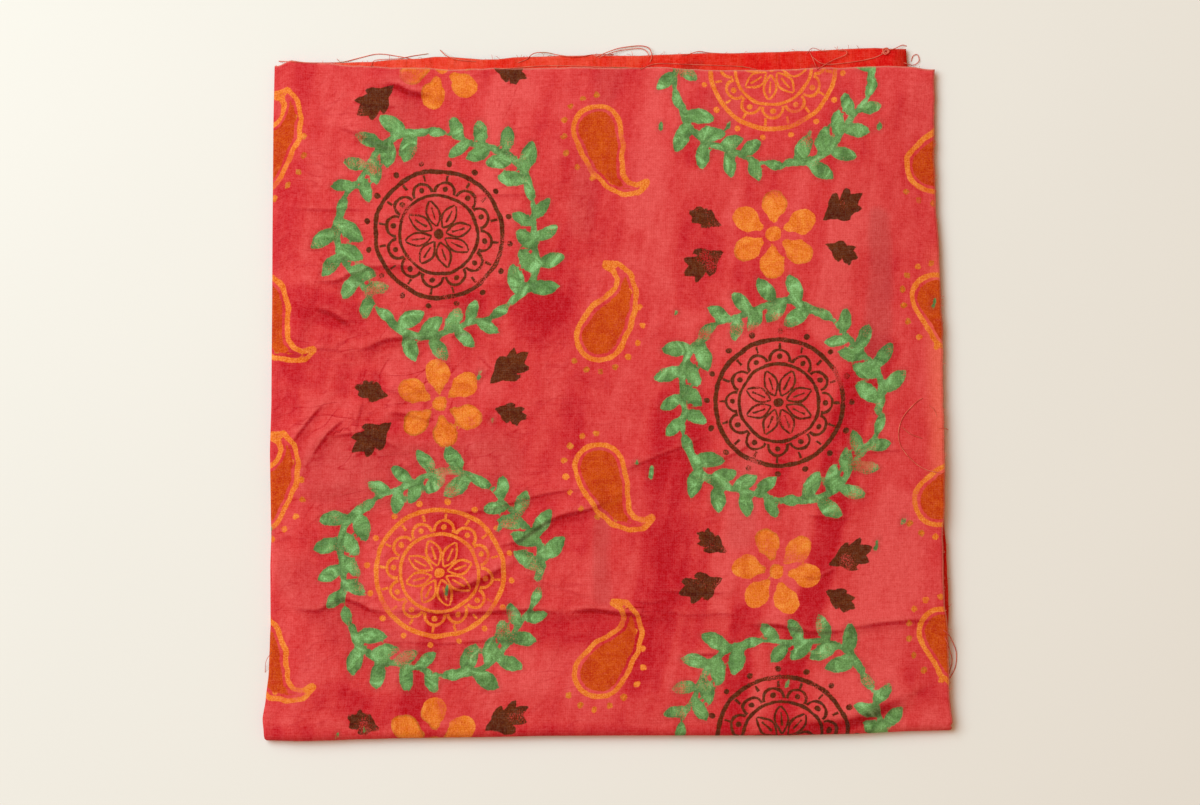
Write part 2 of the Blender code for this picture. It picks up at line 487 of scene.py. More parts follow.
CREASES: tuple[Crease, ...] = (
    Crease(((-76, 103), (-70, 102.5), (-66.5, 100.5), (-58, 99.5)), 3.5, 1.5, 1.0, 1.2),
    Crease(((-86, 98), (-79, 96), (-69, 96)), 3.5, 0.7, 0.45),
    Crease(((-90, 89), (-83, 86.5), (-76.5, 83), (-64, 81)), 4.5, 0.9, 0.45, 0.8),
    Crease(((-104, 61.5), (-92, 61), (-79, 61)), 2.5, 0.3, 0.35),
    Crease(((-53, 65.5), (-36, 66), (-19, 66)), 2.5, 0.2, 0.3),
    Crease(((-71, 59), (-66, 63), (-62, 64.5), (-53, 63.5)), 5.0, 1.1, 0.2),
    Crease(((-98, 37), (-90, 37), (-82.5, 41), (-72, 42), (-60, 41.5)), 4.0, 0.9, 0.6, 0.8),
    Crease(((-98, 28.5), (-91, 26), (-85, 22)), 4.5, 1.3, 0.85, 1.0),
    Crease(((-84, 14.5), (-79, 15.5), (-73, 18), (-60, 19)), 4.5, 1.1, 0.75, 0.9),
    Crease(((-53, 19), (-49, 20), (-44, 20.5)), 3.5, 0.7, 0.6),
    Crease(((-39, 36), (-33, 36), (-27, 35)), 4.5, 0.5, 0.3),
    Crease(((-104, 14.5), (-96, 15), (-88, 14.5)), 3.0, 0.4, 0.35),
    Crease(((-104, 13), (-102.5, 20), (-99, 28.5)), 6.0, 0.7, 0.0),
    Crease(((-105.5, -17.5), (-100, -10), (-94, -3)), 4.0, 0.85, 0.75, 0.7),
    Crease(((-98.5, -21.5), (-93, -14), (-87, -8)), 3.5, 0.8, 0.8, 0.7),
    Crease(((-73, -6), (-66, -7), (-58, -10)), 4.5, 0.8, 0.55, 0.7),
    Crease(((-92, -14.5), (-82.5, -13.5), (-76, -15.5), (-69, -19)), 4.0, 0.65, 0.6, 0.7),
    Crease(((-76, 3), (-68, 0), (-58, 1)), 4.5, 0.7, 0.35),
    Crease(((-99, -33), (-88, -31), (-75, -34)), 6.0, 0.7, 0.1),
    Crease(((-59, -40), (-42.5, -39), (-21, -33.5), (-5, -31.5)), 4.5, 0.8, 0.55),
    Crease(((-37, -51), (-29, -49), (-20, -43), (-4.5, -38), (1, -35.5)), 4.0, 1.3, 0.9, 0.8),
    Crease(((-60, -68), (-53, -66), (-46, -64), (-39, -60.5), (-33.5, -57)), 4.0, 1.5, 1.0, 1.1),
    Crease(((-32, -58), (-20, -63), (-5, -68)), 6.0, 0.6, 0.15),
    Crease(((-105, -71), (-96, -72), (-88, -68), (-79.5, -72), (-72, -73)), 4.0, 0.9, 0.7, 0.8),
    Crease(((-73, -72.5), (-60, -73), (-47, -73), (-27.5, -72), (-13, -73)), 4.0, 0.9, 0.75, 0.8),
    Crease(((-14, -72.5), (-5, -72), (4, -73), (15, -74.5)), 4.0, 0.9, 0.95, 0.9),
    Crease(((14, -72), (26, -74), (38, -73.5), (48, -75)), 5.0, 0.5, 0.3),
    Crease(((46, -77), (57, -77), (67, -79.5), (81, -78.5)), 4.0, 0.9, 0.85, 0.8),
    Crease(((80, -78), (90, -77), (100, -76), (111, -75)), 4.5, 0.7, 0.6, 0.8),
    Crease(((-73, -82.5), (-55, -83), (-38, -82), (-19, -82.5)), 2.5, 0.2, 0.4),
    Crease(((-4.5, -68), (-3, -48), (-4, -23)), 6.0, 0.5, 0.0),
    Crease(((3, -26.5), (15, -21.5), (24, -18), (34.5, -13.5)), 4.5, 0.8, 0.5),
    Crease(((30, -24.5), (43.5, -19.5), (49.5, -14.5)), 4.5, 0.7, 0.45),
    Crease(((63, -8.5), (74, -6.5), (79, -2.5)), 4.5, 0.7, 0.3),
    Crease(((17, -65.5), (26, -66.5), (39, -66)), 3.5, 0.7, 0.6),
    Crease(((27, -87.5), (33, -87), (40, -87)), 3.5, 0.5, 0.55),
    Crease(((60, -111), (75, -110.5), (84, -109), (90, -105.5), (99.5, -101)), 6.0, 1.9, 1.0, 2.0),
    Crease(((-60, -89), (-30, -92), (4, -92)), 9.0, -0.5, 0.0),
    Crease(((28, 38), (44, 56), (60, 72)), 24.0, -0.6, 0.0),
    Crease(((60, 18), (76, 40), (90, 62)), 22.0, 0.6, 0.0),
    Crease(((-40, 48), (-26, 66), (-10, 86)), 22.0, 0.5, 0.0),
    Crease(((20, -100), (48, -92), (80, -96)), 16.0, 0.5, 0.0),
    Crease(((69, -18.5), (84, -19.5), (102, -18)), 3.0, 0.25, 0.3),
    Crease(((66, -40.5), (74, -42), (82, -41.5)), 3.0, 0.3, 0.5),
    Crease(((64, -60.5), (70, -61.5), (77, -58)), 3.0, 0.35, 0.6),
    Crease(((8, -68.5), (14, -70), (20, -69)), 3.0, 0.3, 0.45),
    Crease(((-84, -13), (-83, -8), (-81, -2)), 3.5, 0.6, 0.4),
    Crease(((-85, -21.5), (-79, -18.5), (-73, -17.5)), 3.5, 0.6, 0.6, 0.7),
)

# The creases in two sets, by the attribute that holds the distance from their lines.
CREASE_LINES = {"crease": CREASES[0::2], "other_crease": CREASES[1::2]}


@dataclass
class Relief:
    """Everything that lifts the cloth off a flat plane, in mm.

    Attributes:
        share: How much of the top layer's relief each layer takes, in the order of Layer.
        fade: How far from a fold the relief comes in.
        calm: How far from a raw edge the relief reaches its full height.
        edge_share: The share of its height that it has at a raw edge.
        crumpled: Middle, reach and height of the part that is crumpled all over.
        undulation: Height of the broad waves.
        near_side: How steep a crease's near side is, as a share of its far side.
        trough: How deep the dip at a crease's near side is, as a share of its height.
        crown: How far a crease's crown stands on the far side of its line, and how round it is.
        wander: How far a crease strays from its route.
        proud_reach: How far round it a place is compared with, to say how it stands proud.
        line_reach: Beyond this distance from a crease's line it makes no difference.
    """

    share: tuple[float, ...] = (1.0, 0.6, 0.3, 0.0)
    fade: float = 5.0
    calm: float = 14.0
    edge_share: float = 0.45
    crumpled: tuple[float, float, float, float] = (-76.0, -8.0, 36.0, 0.52)
    undulation: float = 0.42
    near_side: float = 0.5
    trough: float = 0.22
    crown: float = 1.1
    wander: float = 0.42
    proud_reach: float = 2.6
    line_reach: float = 9.0
    noise: SoftNoise = field(default_factory=lambda: SoftNoise(11))
    fine_noise: SoftNoise = field(default_factory=lambda: SoftNoise(12))

    def strayed(self, x: Array, y: Array) -> tuple[Array, Array]:
        """Shift places a little, so that what is drawn at them wanders."""
        return (
            x + self.wander * (self.noise.at(x, y, 12.0) + 0.3 * self.fine_noise.at(x, y, 4.6)),
            y + self.wander * (self.fine_noise.at(x, y, 12.0) + 0.3 * self.noise.at(x, y, 4.6)),
        )

    def height(self, x: Array, y: Array) -> Array:
        """Add up the creases, the crumpled part and the broad waves."""
        place_x, place_y = self.strayed(x, y)
        total = np.zeros(x.shape)
        for crease in CREASES:
            signed, share = route_field(place_x, place_y, smooth_route(crease.route))
            taper = np.sqrt(np.clip(np.sin(math.pi * (0.06 + 0.88 * share)), 0.0, 1.0))
            from_crown = signed - self.crown
            near_spread = max(crease.spread * self.near_side, 2.0)
            spread = np.where(from_crown > 0, crease.spread, near_spread)
            away = (np.sqrt(from_crown**2 + self.crown**2) - self.crown) / spread
            dip = np.exp(-(((signed + near_spread) / near_spread) ** 2))
            total += crease.height * taper * (np.exp(-(away**1.3)) - self.trough * dip)
        return total + self.crumples(x, y) + self.waves(x, y)

    def crumple_share(self, x: Array, y: Array) -> Array:
        """Say how crumpled each place is, from 0 to 1."""
        middle_x, middle_y, reach, _ = self.crumpled
        inside = np.exp(-(((x - middle_x) / reach) ** 2 + ((y - middle_y) / reach * 1.1) ** 2))
        left_half = 1 - smooth_step((x + 14) / 26)
        return 0.14 + 0.22 * left_half + 0.64 * inside

    def crumples(self, x: Array, y: Array) -> Array:
        """Ridges that cross each other all over the crumpled part, and faintly elsewhere."""
        total = np.zeros(x.shape)
        for noise, wide, deep, apart, turn, share, sharpness in (
            (self.noise, 0.8, 1.25, 14.0, 0.35, 0.50, 1.4),
            (self.fine_noise, 1.1, 0.9, 12.0, -0.7, 0.38, 1.4),
            (self.fine_noise, 0.7, 1.3, 6.5, 0.15, 0.24, 1.3),
        ):
            ridge = 1 - np.abs(noise.at(x * wide, y * deep, apart, turn)) * 2.0
            total += share * np.clip(ridge, 0, 1) ** sharpness
        return self.crumpled[3] * self.crumple_share(x, y) * total

    def waves(self, x: Array, y: Array) -> Array:
        """Broad waves over the whole cloth."""
        broad = self.noise.at(x + 40, y, 62.0) + 0.5 * self.fine_noise.at(x, y + 25, 27.0)
        return self.undulation * (broad + 0.22 * self.noise.at(x * 0.7, y * 1.3, 11.0))

    def sag_share(self, x: Array, y: Array, from_edge: Array,
                  reach: float) -> Array:
        """Say how far the layers have closed up near a raw edge, less so by the near right corner."""
        open_corner = smooth_step((x - 50) / 50) * smooth_step((110 - y) / 160)
        uneven = 0.92 + 0.10 * self.noise.at(x, y, 19.0) - 0.60 * open_corner
        return uneven * np.clip(1 - from_edge / reach, 0.0, 1.0) ** 1.7

    def ragged_edge(self, x: Array, y: Array, outer: Array,
                    over: Array) -> Array:
        """Say how far a raw edge is drawn in or out of its line, in mm."""
        lead = 37 * outer + 91 * over
        return 0.30 * self.noise.at(x + lead, y - lead, 9.0) + 0.15 * self.fine_noise.at(x, y + lead, 3.0)

    def proud(self, x: Array, y: Array) -> Array:
        """Say how far a place stands above the cloth around it, in mm."""
        around = np.zeros(x.shape)
        for step_x, step_y in ((1, 0), (-1, 0), (0, 1), (0, -1)):
            around += self.height(x + step_x * self.proud_reach, y + step_y * self.proud_reach) / 4
        return self.height(x, y) - around

    def lines(self, x: Array, y: Array, creases: tuple[Crease, ...]) -> Array:
        """Find the sharp line of the nearest crease, along which the finish paints shade and a highlight.

        Args:
            x: Places from left to right, in mm.
            y: Places from near to far, in mm.
            creases: The creases to look at, none of which crosses another.

        Returns:
            A row for each place: distance from the line in mm, its strength and its half width.
        """
        place_x, place_y = self.strayed(x, y)
        nearest = np.full(x.shape, self.line_reach)
        strength = np.zeros(x.shape)
        width = np.full(x.shape, 0.6)
        for crease in creases:
            if crease.line == 0:
                continue
            signed, share = route_field(place_x, place_y, smooth_route(crease.route))
            closer = np.abs(signed) < np.abs(nearest)
            taper = np.clip(1.5 * np.sin(math.pi * share), 0.0, 1.0)
            apart = 1 - smooth_step((np.abs(signed) - max(2.0, 1.7 * crease.width)) / 1.8)
            nearest = np.where(closer, signed, nearest)
            strength = np.where(closer, crease.line * taper * apart, strength)
            width = np.where(closer, crease.width * (0.6 + 0.4 * taper), width)
        return np.stack([nearest, strength, width], axis=-1)


# ---- Dye ----


@dataclass(frozen=True)
class DyeBand:
    """A band where the ground is darker, or lighter, drawn in mm from the top layer's middle: mostly dye
    that took more or less, and painted shade along the near fold.

    Attributes:
        route: The points along its middle.
        start: Half its width where it starts.
        end: Half its width where it ends.
        strength: How much darker it is, or lighter when less than zero.
    """

    route: Route
    start: float
    end: float
    strength: float


# Bands where the dye took more or less, and one of painted shade along the near fold.
DYE_AND_SHADE_BANDS: tuple[DyeBand, ...] = (
    DyeBand(((90, 14), (82, -5), (77, -26), (71, -49), (66.5, -74), (59, -112)), 6.5, 3.6, 1.0),
    DyeBand(((66, 18), (63, -6), (57, -24), (54, -38)), 3.8, 3.0, 0.55),
    DyeBand(((47, -75), (42, -112)), 4.8, 4.4, 0.85),
    DyeBand(((26, -7), (22, -32), (18, -57), (12, -82), (8, -93)), 9.0, 8.0, 0.85),
    DyeBand(((34, -40), (31, -62), (27, -82)), 3.0, 4.0, 0.45),
    DyeBand(((31, 54), (29, 34)), 7.5, 6.5, 0.55),
    DyeBand(((34, 97), (31, 79)), 5.5, 4.5, 0.55),
    DyeBand(((-52.5, -46), (-55, -68), (-61, -88), (-66, -112)), 4.0, 3.4, 0.9),
    DyeBand(((-20, 56), (-19, 38), (-24, 27)), 7.0, 9.0, 0.6),
    DyeBand(((-54, 33), (-38, 33), (-20, 29)), 3.5, 6.0, 0.45),
    DyeBand(((-46, 31), (-47, 15)), 4.5, 4.0, 0.45),
    DyeBand(((-103, 9), (-90, 5), (-77, 3)), 6.0, 5.0, 0.6),
    DyeBand(((-103, 29), (-92, 27), (-83, 24)), 5.0, 5.0, 0.6),
    DyeBand(((-39, -34), (-27, -41), (-12, -47)), 7.0, 7.0, 0.5),
    DyeBand(((-58, -40), (-48, -47)), 6.0, 5.0, 0.3),
    DyeBand(((-26, -77), (-8, -80), (8, -84)), 4.5, 5.0, 0.55),
    DyeBand(((-92, -100), (-80, -104), (-62, -104)), 5.0, 6.0, 0.6),
    DyeBand(((-10, 4), (-11, -18)), 3.6, 3.6, 0.5),
    # Painted shade: the darker band along the near fold, where the fold turns away from the lamp.
    DyeBand(((-112, -114), (-40, -115), (80, -113)), 3.5, 3.5, 0.5),
    DyeBand(((-107, 76), (-106, 30), (-107, -20)), 5.0, 5.0, 0.3),
    DyeBand(((-101, 104), (-98, 90)), 5.0, 4.0, 0.4),
    DyeBand(((77, 104), (75, 84), (71, 62)), 4.0, 4.0, 0.35),
    DyeBand(((56, 88), (50, 58), (48, 36)), 5.0, 5.0, 0.25),
    DyeBand(((8, 104), (0, 70), (-6, 44)), 5.0, 4.0, 0.25),
    DyeBand(((-30, 100), (-38, 70), (-43, 40)), 7.0, 6.0, -0.35),
    DyeBand(((20, 104), (14, 78), (10, 60)), 4.5, 4.0, -0.45),
    DyeBand(((80, 60), (77, 42), (72, 22)), 5.0, 5.5, -0.7),
    DyeBand(((45, 26), (46, -20), (38, -68)), 5.0, 5.0, -0.4),
    DyeBand(((68, -28), (61, -60), (56, -80)), 3.5, 3.0, -0.5),
    DyeBand(((51, -86), (49, -112)), 2.4, 2.6, -0.5),
    DyeBand(((96, -40), (90, -70), (84, -104)), 9.0, 13.0, -0.5),
    DyeBand(((-66, -72), (-74, -98)), 6.0, 5.0, -0.25),
    DyeBand(((-36, -92), (-6, -98)), 8.0, 9.0, -0.3),
)

# Bands that have gone dull rather than red, in the same form.
DULL_BANDS: tuple[DyeBand, ...] = (
    DyeBand(((92, 60), (90, 34), (88, 10)), 3.5, 4.5, 0.9),
    DyeBand(((-2, -20), (-3, -46), (-3.5, -68)), 3.0, 3.0, 0.6),
    DyeBand(((-72, 97), (-64, 82)), 9.0, 9.0, 0.4),
    DyeBand(((1, 106), (-6, 76), (-9, 54)), 4.0, 4.0, 0.4),
    DyeBand(((-92, -26), (-60, -28), (-40, -24)), 12.0, 12.0, 0.5),
    DyeBand(((40, 100), (36, 84)), 6.0, 6.0, 0.4),
    DyeBand(((-104, -62), (-84, -78), (-60, -92)), 8.0, 9.0, 0.35),
    DyeBand(((44, -6), (44, -48)), 4.0, 5.0, 0.4),
)


@dataclass
class DyeBath:
    """The unevenness of the ground colour that is too broad for a noise.

    Attributes:
        wander: How far a band strays from its route, in mm.
        widened: How much wider a band is than it is drawn.
        hardness: How steeply a band's sides end.
    """

    wander: float = 2.2
    widened: float = 1.08
    hardness: float = 6.5
    noise: SoftNoise = field(default_factory=lambda: SoftNoise(21))
    cross_noise: SoftNoise = field(default_factory=lambda: SoftNoise(22))

    def depth(self, s: Array, t: Array, bands: tuple[DyeBand, ...]) -> Array:
        """Add up bands.

        Args:
            s: Places across the flat cloth, in mm.
            t: Places along the flat cloth, in mm.
            bands: The bands to add.

        Returns:
            How much darker each place is than the plain ground.
        """
        place_s = s + self.wander * self.noise.at(s, t, 24.0) + 0.5 * self.noise.at(s, t, 6.0)
        place_t = t + self.wander * self.cross_noise.at(s, t, 24.0)
        total = np.zeros(s.shape)
        for band in bands:
            signed, share = route_field(place_s, place_t, smooth_route(band.route))
            width = self.widened * blend(band.start, band.end, share)
            total += band.strength * np.exp(-((np.abs(signed) / width) ** self.hardness))
        return total

    def elsewhere(self, s: Array, t: Array) -> Array:
        """Slanting streaks of the halves that don't show from above."""
        slant = s - 0.22 * t
        return 1.2 * np.clip(self.noise.at(slant, t / 7, 15.0, 0.0) - 0.15, 0.0, 1.0)


# ---- Print ----


def disc(x: Array, y: Array, middle: Place, radius: float) -> Array:
    """Distance from a disc's edge, less than zero inside."""
    return np.hypot(x - middle[0], y - middle[1]) - radius


def tapered_stroke(x: Array, y: Array, knots: Sequence[Sequence[float]]) -> Array:
    """Distance from a stroke's edge, less than zero inside.

    Args:
        x: Places to the right, in mm.
        y: Places away, in mm.
        knots: The stroke's knots, each as x, y and radius.

    Returns:
        The distances.
    """
    nearest = np.full(x.shape, np.inf)
    for (from_x, from_y, from_radius), (to_x, to_y, to_radius) in zip(knots, knots[1:]):
        run_x, run_y = to_x - from_x, to_y - from_y
        along = ((x - from_x) * run_x + (y - from_y) * run_y) / (run_x**2 + run_y**2)
        along = np.clip(along, 0.0, 1.0)
        gap = np.hypot(x - from_x - along * run_x, y - from_y - along * run_y)
        nearest = np.minimum(nearest, gap - blend(from_radius, to_radius, along))
    return nearest


def turned(x: Array, y: Array, angle: float) -> tuple[Array, Array]:
    """Give places in axes that are turned by an angle, in radians."""
    return x * math.cos(angle) + y * math.sin(angle), y * math.cos(angle) - x * math.sin(angle)


def pointed_leaf(x: Array, y: Array, base: Place, turn: float, length: float, width: float) -> Array:
    """Distance from the edge of a leaf with two points, less than zero inside.

    Args:
        x: Places to the right, in mm.
        y: Places away, in mm.
        base: Where the leaf starts.
        turn: The way that it points, in radians from the right.
        length: From point to point.
        width: Across its middle.

    Returns:
        The distances.
    """
    along, across = turned(x - base[0], y - base[1], turn)
    arc_radius = (length**2 + width**2) / (4 * width)
    return np.hypot(along - length / 2, np.abs(across) + arc_radius - width / 2) - arc_radius


# In mm: beyond the first a place's distance from a motif makes no difference, and no motif
# goes farther than the second from its own middle.
FAR_OFF = 12.0
MOTIF_REACH = 45.0


class Plate(Enum):
    """A printing block's colour, by the attribute that holds the distance from its edges."""

    LEAF = "leaf_plate"
    PETAL = "petal_plate"
    POD = "pod_plate"
    DROP = "drop_plate"


@dataclass
class Impressions:
    """What has been printed so far: for each plate, the distance from its nearest edge.

    Attributes:
        s: Places across the flat cloth, in mm.
        t: Places along the flat cloth, in mm.
        plates: Distance from each plate's edges, less than zero on the paint.
        rosette: Each place in the axes of its nearest rosette, and the rosette's colour, which is
            1 or -1 and goes to zero beyond its rim.
        rosette_gap: How far each place is from the middle of its nearest rosette so far.
        rim_fade: How far beyond its rim a rosette's colour goes to zero, in mm.
    """

    s: Array
    t: Array
    plates: dict[Plate, Array] = field(init=False)
    rosette: Array = field(init=False)
    rosette_gap: Array = field(init=False)
    rim_fade: float = 4.0

    def __post_init__(self) -> None:
        """Start with nothing printed."""
        self.plates = {plate: np.full(self.s.shape, FAR_OFF) for plate in Plate}
        self.rosette = np.zeros((len(self.s), 3))
        self.rosette_gap = np.full(self.s.shape, np.inf)

    def stamp(self, plate: Plate, middle: Place, turn: float,
              shape: Callable[[Array, Array], Array]) -> None:
        """Print one shape.

        Args:
            plate: The colour.
            middle: Where the shape's own middle goes, in mm.
            turn: Its turn, in radians.
            shape: Gives the distance from its edge at places in its own axes.
        """
        away_s, away_t = self.s - middle[0], self.t - middle[1]
        near = np.hypot(away_s, away_t) < MOTIF_REACH + 2 * FAR_OFF
        x, y = turned(away_s[near], away_t[near], turn)
        paint = self.plates[plate]
        paint[near] = np.minimum(paint[near], shape(x, y))

    def place_rosette(self, middle: Place, turn: float, reach: float, kind: float) -> None:
        """Give the places nearest to a rosette's middle their coordinates in its own axes."""
        away_s, away_t = self.s - middle[0], self.t - middle[1]
        gap = np.hypot(away_s, away_t)
        near = gap < self.rosette_gap
        x, y = turned(away_s[near], away_t[near], turn)
        inked = kind * (1 - smooth_step((gap[near] - reach) / self.rim_fade))
        self.rosette[near] = np.stack([x, y, inked], axis=-1)
        self.rosette_gap[near] = gap[near]


@dataclass
class Wreath:
    """A ring of leafy sprigs, each printed from a curved block.

    Attributes:
        radius: Radius of the stems' ring, in mm.
        sway: How far a stem sways out of the ring and into it.
        sprigs: How many sprigs go round it.
        gap: Angle between two sprigs, in radians.
        stem: Half the width of a stem.
        leaf_length: Length of a leaf.
        leaf_width: Width of a leaf.
        leaves: Leaves on each side of a sprig.
        lean: Angle between a leaf and its stem, in radians.
        slip: How far out of its place a sprig is printed, at most.
        tilt: How far out of its turn it is printed, at most, in radians.
    """

    radius: float = 34.0
    sway: float = 1.6
    sprigs: int = 5
    gap: float = 0.20
    stem: float = 1.15
    leaf_length: float = 10.5
    leaf_width: float = 5.2
    leaves: int = 4
    lean: float = 0.92
    slip: float = 0.9
    tilt: float = 0.05

    def on_stem(self, share: float) -> tuple[Place, float]:
        """Give the place that is a share along a sprig's stem, and its angle round the ring."""
        angle = (2 * math.pi / self.sprigs - self.gap) * share
        ring = self.radius + self.sway * math.sin(2 * math.pi * share)
        return (ring * math.cos(angle), ring * math.sin(angle)), angle

    def sprig(self, x: Array, y: Array) -> Array:
        """Distance from the edge of one sprig, which starts to the right of the ring's middle."""
        shares = [step / 8 for step in range(9)]
        stem = [(*self.on_stem(share)[0], self.stem * (1.15 - 0.5 * share)) for share in shares]
        tip, angle = self.on_stem(1.0)
        leaves = [(tip, angle + math.pi / 2, self.leaf_length * 0.75, self.leaf_width * 0.7)]
        for side in (-1, 1):
            for index in range(self.leaves):
                share = (index + 0.55 + 0.2 * side) / (self.leaves + 0.35)
                base, angle = self.on_stem(share)
                size = 1.08 - 0.30 * share
                turn = angle + math.pi / 2 - side * self.lean
                leaves.append((base, turn, self.leaf_length * size, self.leaf_width * size))
        shapes = [tapered_stroke(x, y, stem), *(pointed_leaf(x, y, *leaf) for leaf in leaves)]
        return np.minimum.reduce(shapes)

    def print_on(self, cloth: Impressions, middle: Place, draw: np.random.Generator) -> None:
        """Print the ring, each sprig a little out of its place."""
        start = draw.uniform(0, 2 * math.pi)
        for index in range(self.sprigs):
            slip = draw.uniform(-self.slip, self.slip, 2)
            tilt = draw.uniform(-self.tilt, self.tilt)
            turn = start + index * 2 * math.pi / self.sprigs + tilt
            cloth.stamp(Plate.LEAF, (middle[0] + slip[0], middle[1] + slip[1]), turn, self.sprig)


@dataclass
class Blossom:
    """A flower of separate round petals about a middle, with a pair of dark leaves each side.

    Attributes:
        petals: How many petals.
        ring: Distance of a petal's round end from the flower's middle, in mm.
        round_end: Radius of that end.
        middle: Radius of the flower's middle.
        leaf_start: Distance of a dark leaf's base from the flower's middle.
        leaf_length: Length of a dark leaf.
        leaf_width: Width of a dark leaf.
        lobe: Length of a dark leaf's side lobe.
        slip: How far out of their place the dark leaves are printed, at most.
        tilt: How far out of its turn a petal is printed, at most, in radians.
        leaf_tilt: The same for the dark leaves.
    """

    petals: int = 6
    ring: float = 10.2
    round_end: float = 4.2
    middle: float = 2.6
    leaf_start: float = 17.5
    leaf_length: float = 17.0
    leaf_width: float = 5.6
    lobe: float = 7.6
    slip: float = 0.6
    tilt: float = 0.07
    leaf_tilt: float = 0.2

    def petal(self, x: Array, y: Array) -> Array:
        """Distance from the edge of the petal that points to the right."""
        knots = ((5.4, 0.0, 1.5), (self.ring, 0.0, self.round_end), (self.ring + 1.4, 0.4, 3.6))
        return tapered_stroke(x, y, knots)

    def middle_disc(self, x: Array, y: Array) -> Array:
        """Distance from the edge of the flower's middle."""
        return disc(x, y, (0.0, 0.0), self.middle)

    def dark_leaves(self, x: Array, y: Array) -> Array:
        """Distance from the edge of the pair of lobed leaves to the flower's right."""
        nearest = np.full(x.shape, FAR_OFF)
        for turn, size in ((0.55, 1.0), (-0.42, 0.74)):
            base = (self.leaf_start * math.cos(turn / 2), self.leaf_start * math.sin(turn / 2))
            length, width = self.leaf_length * size, self.leaf_width * size
            nearest = np.minimum(nearest, pointed_leaf(x, y, base, turn, length, width))
            for share, lean in ((0.22, 0.75), (0.22, -0.75), (0.46, 0.62), (0.46, -0.62)):
                reach = share * length
                place = (base[0] + reach * math.cos(turn), base[1] + reach * math.sin(turn))
                lobe = pointed_leaf(x, y, place, turn + lean, self.lobe * size, self.lobe * size * 0.42)
                nearest = np.minimum(nearest, lobe)
        return nearest

    def print_on(self, cloth: Impressions, middle: Place, draw: np.random.Generator) -> None:
        """Print the flower and its leaves."""
        start = draw.uniform(0, 2 * math.pi)
        for index in range(self.petals):
            tilt = draw.uniform(-self.tilt, self.tilt)
            turn = start + index * 2 * math.pi / self.petals + tilt
            cloth.stamp(Plate.PETAL, middle, turn, self.petal)
        cloth.stamp(Plate.PETAL, middle, 0.0, self.middle_disc)
        slip = draw.uniform(-self.slip, self.slip, 2)
        tilt = draw.uniform(-self.leaf_tilt, self.leaf_tilt)
        for turn in (tilt, tilt + math.pi):
            cloth.stamp(Plate.POD, (middle[0] + slip[0], middle[1] + slip[1]), turn, self.dark_leaves)


@dataclass
class Paisley:
    """A drop with a curled tip, a rim, a core and a row of dots along its back.

    Attributes:
        knots: The drop's knots, each as x, y and radius in mm.
        dot: Radius of a dot.
    """

    knots: Table = (
        (0.0, -7.0, 9.0),
        (0.6, -1.5, 8.3),
        (1.8, 4.5, 6.6),
        (1.8, 10.0, 4.7),
        (-0.4, 14.5, 3.2),
        (-4.2, 16.8, 2.2),
        (-7.8, 16.0, 1.5),
    )
    dot: float = 1.15

    def drop(self, x: Array, y: Array) -> Array:
        """Distance from the drop's edge."""
        return tapered_stroke(x, y, self.knots)

    def dots(self, x: Array, y: Array) -> Array:
        """Distance from the edge of the nearest dot along the drop's back."""
        nearest = np.full(x.shape, FAR_OFF)
        for index in range(9):
            angle = math.radians(-112 + 24 * index)
            reach = 11.9 + 0.9 * max(0.0, index - 4)
            place = (reach * math.cos(angle), -6.0 + reach * math.sin(angle) * 1.12)
            nearest = np.minimum(nearest, disc(x, y, place, self.dot))
        return nearest

    def seed(self, x: Array, y: Array) -> Array:
        """Distance from the edge of the seed inside the core."""
        nearest = pointed_leaf(x, y, (0.0, -10.5), math.pi / 2 - 0.06, 11.0, 5.0)
        for place in ((-4.0, -5.0), (4.2, -5.0)):
            nearest = np.minimum(nearest, disc(x, y, place, self.dot))
        return nearest

    def print_on(self, cloth: Impressions, middle: Place, turn: float) -> None:
        """Print the drop with its dots and seed."""
        cloth.stamp(Plate.DROP, middle, turn, self.drop)
        cloth.stamp(Plate.PETAL, middle, turn, self.dots)
        cloth.stamp(Plate.PETAL, middle, turn, self.seed)


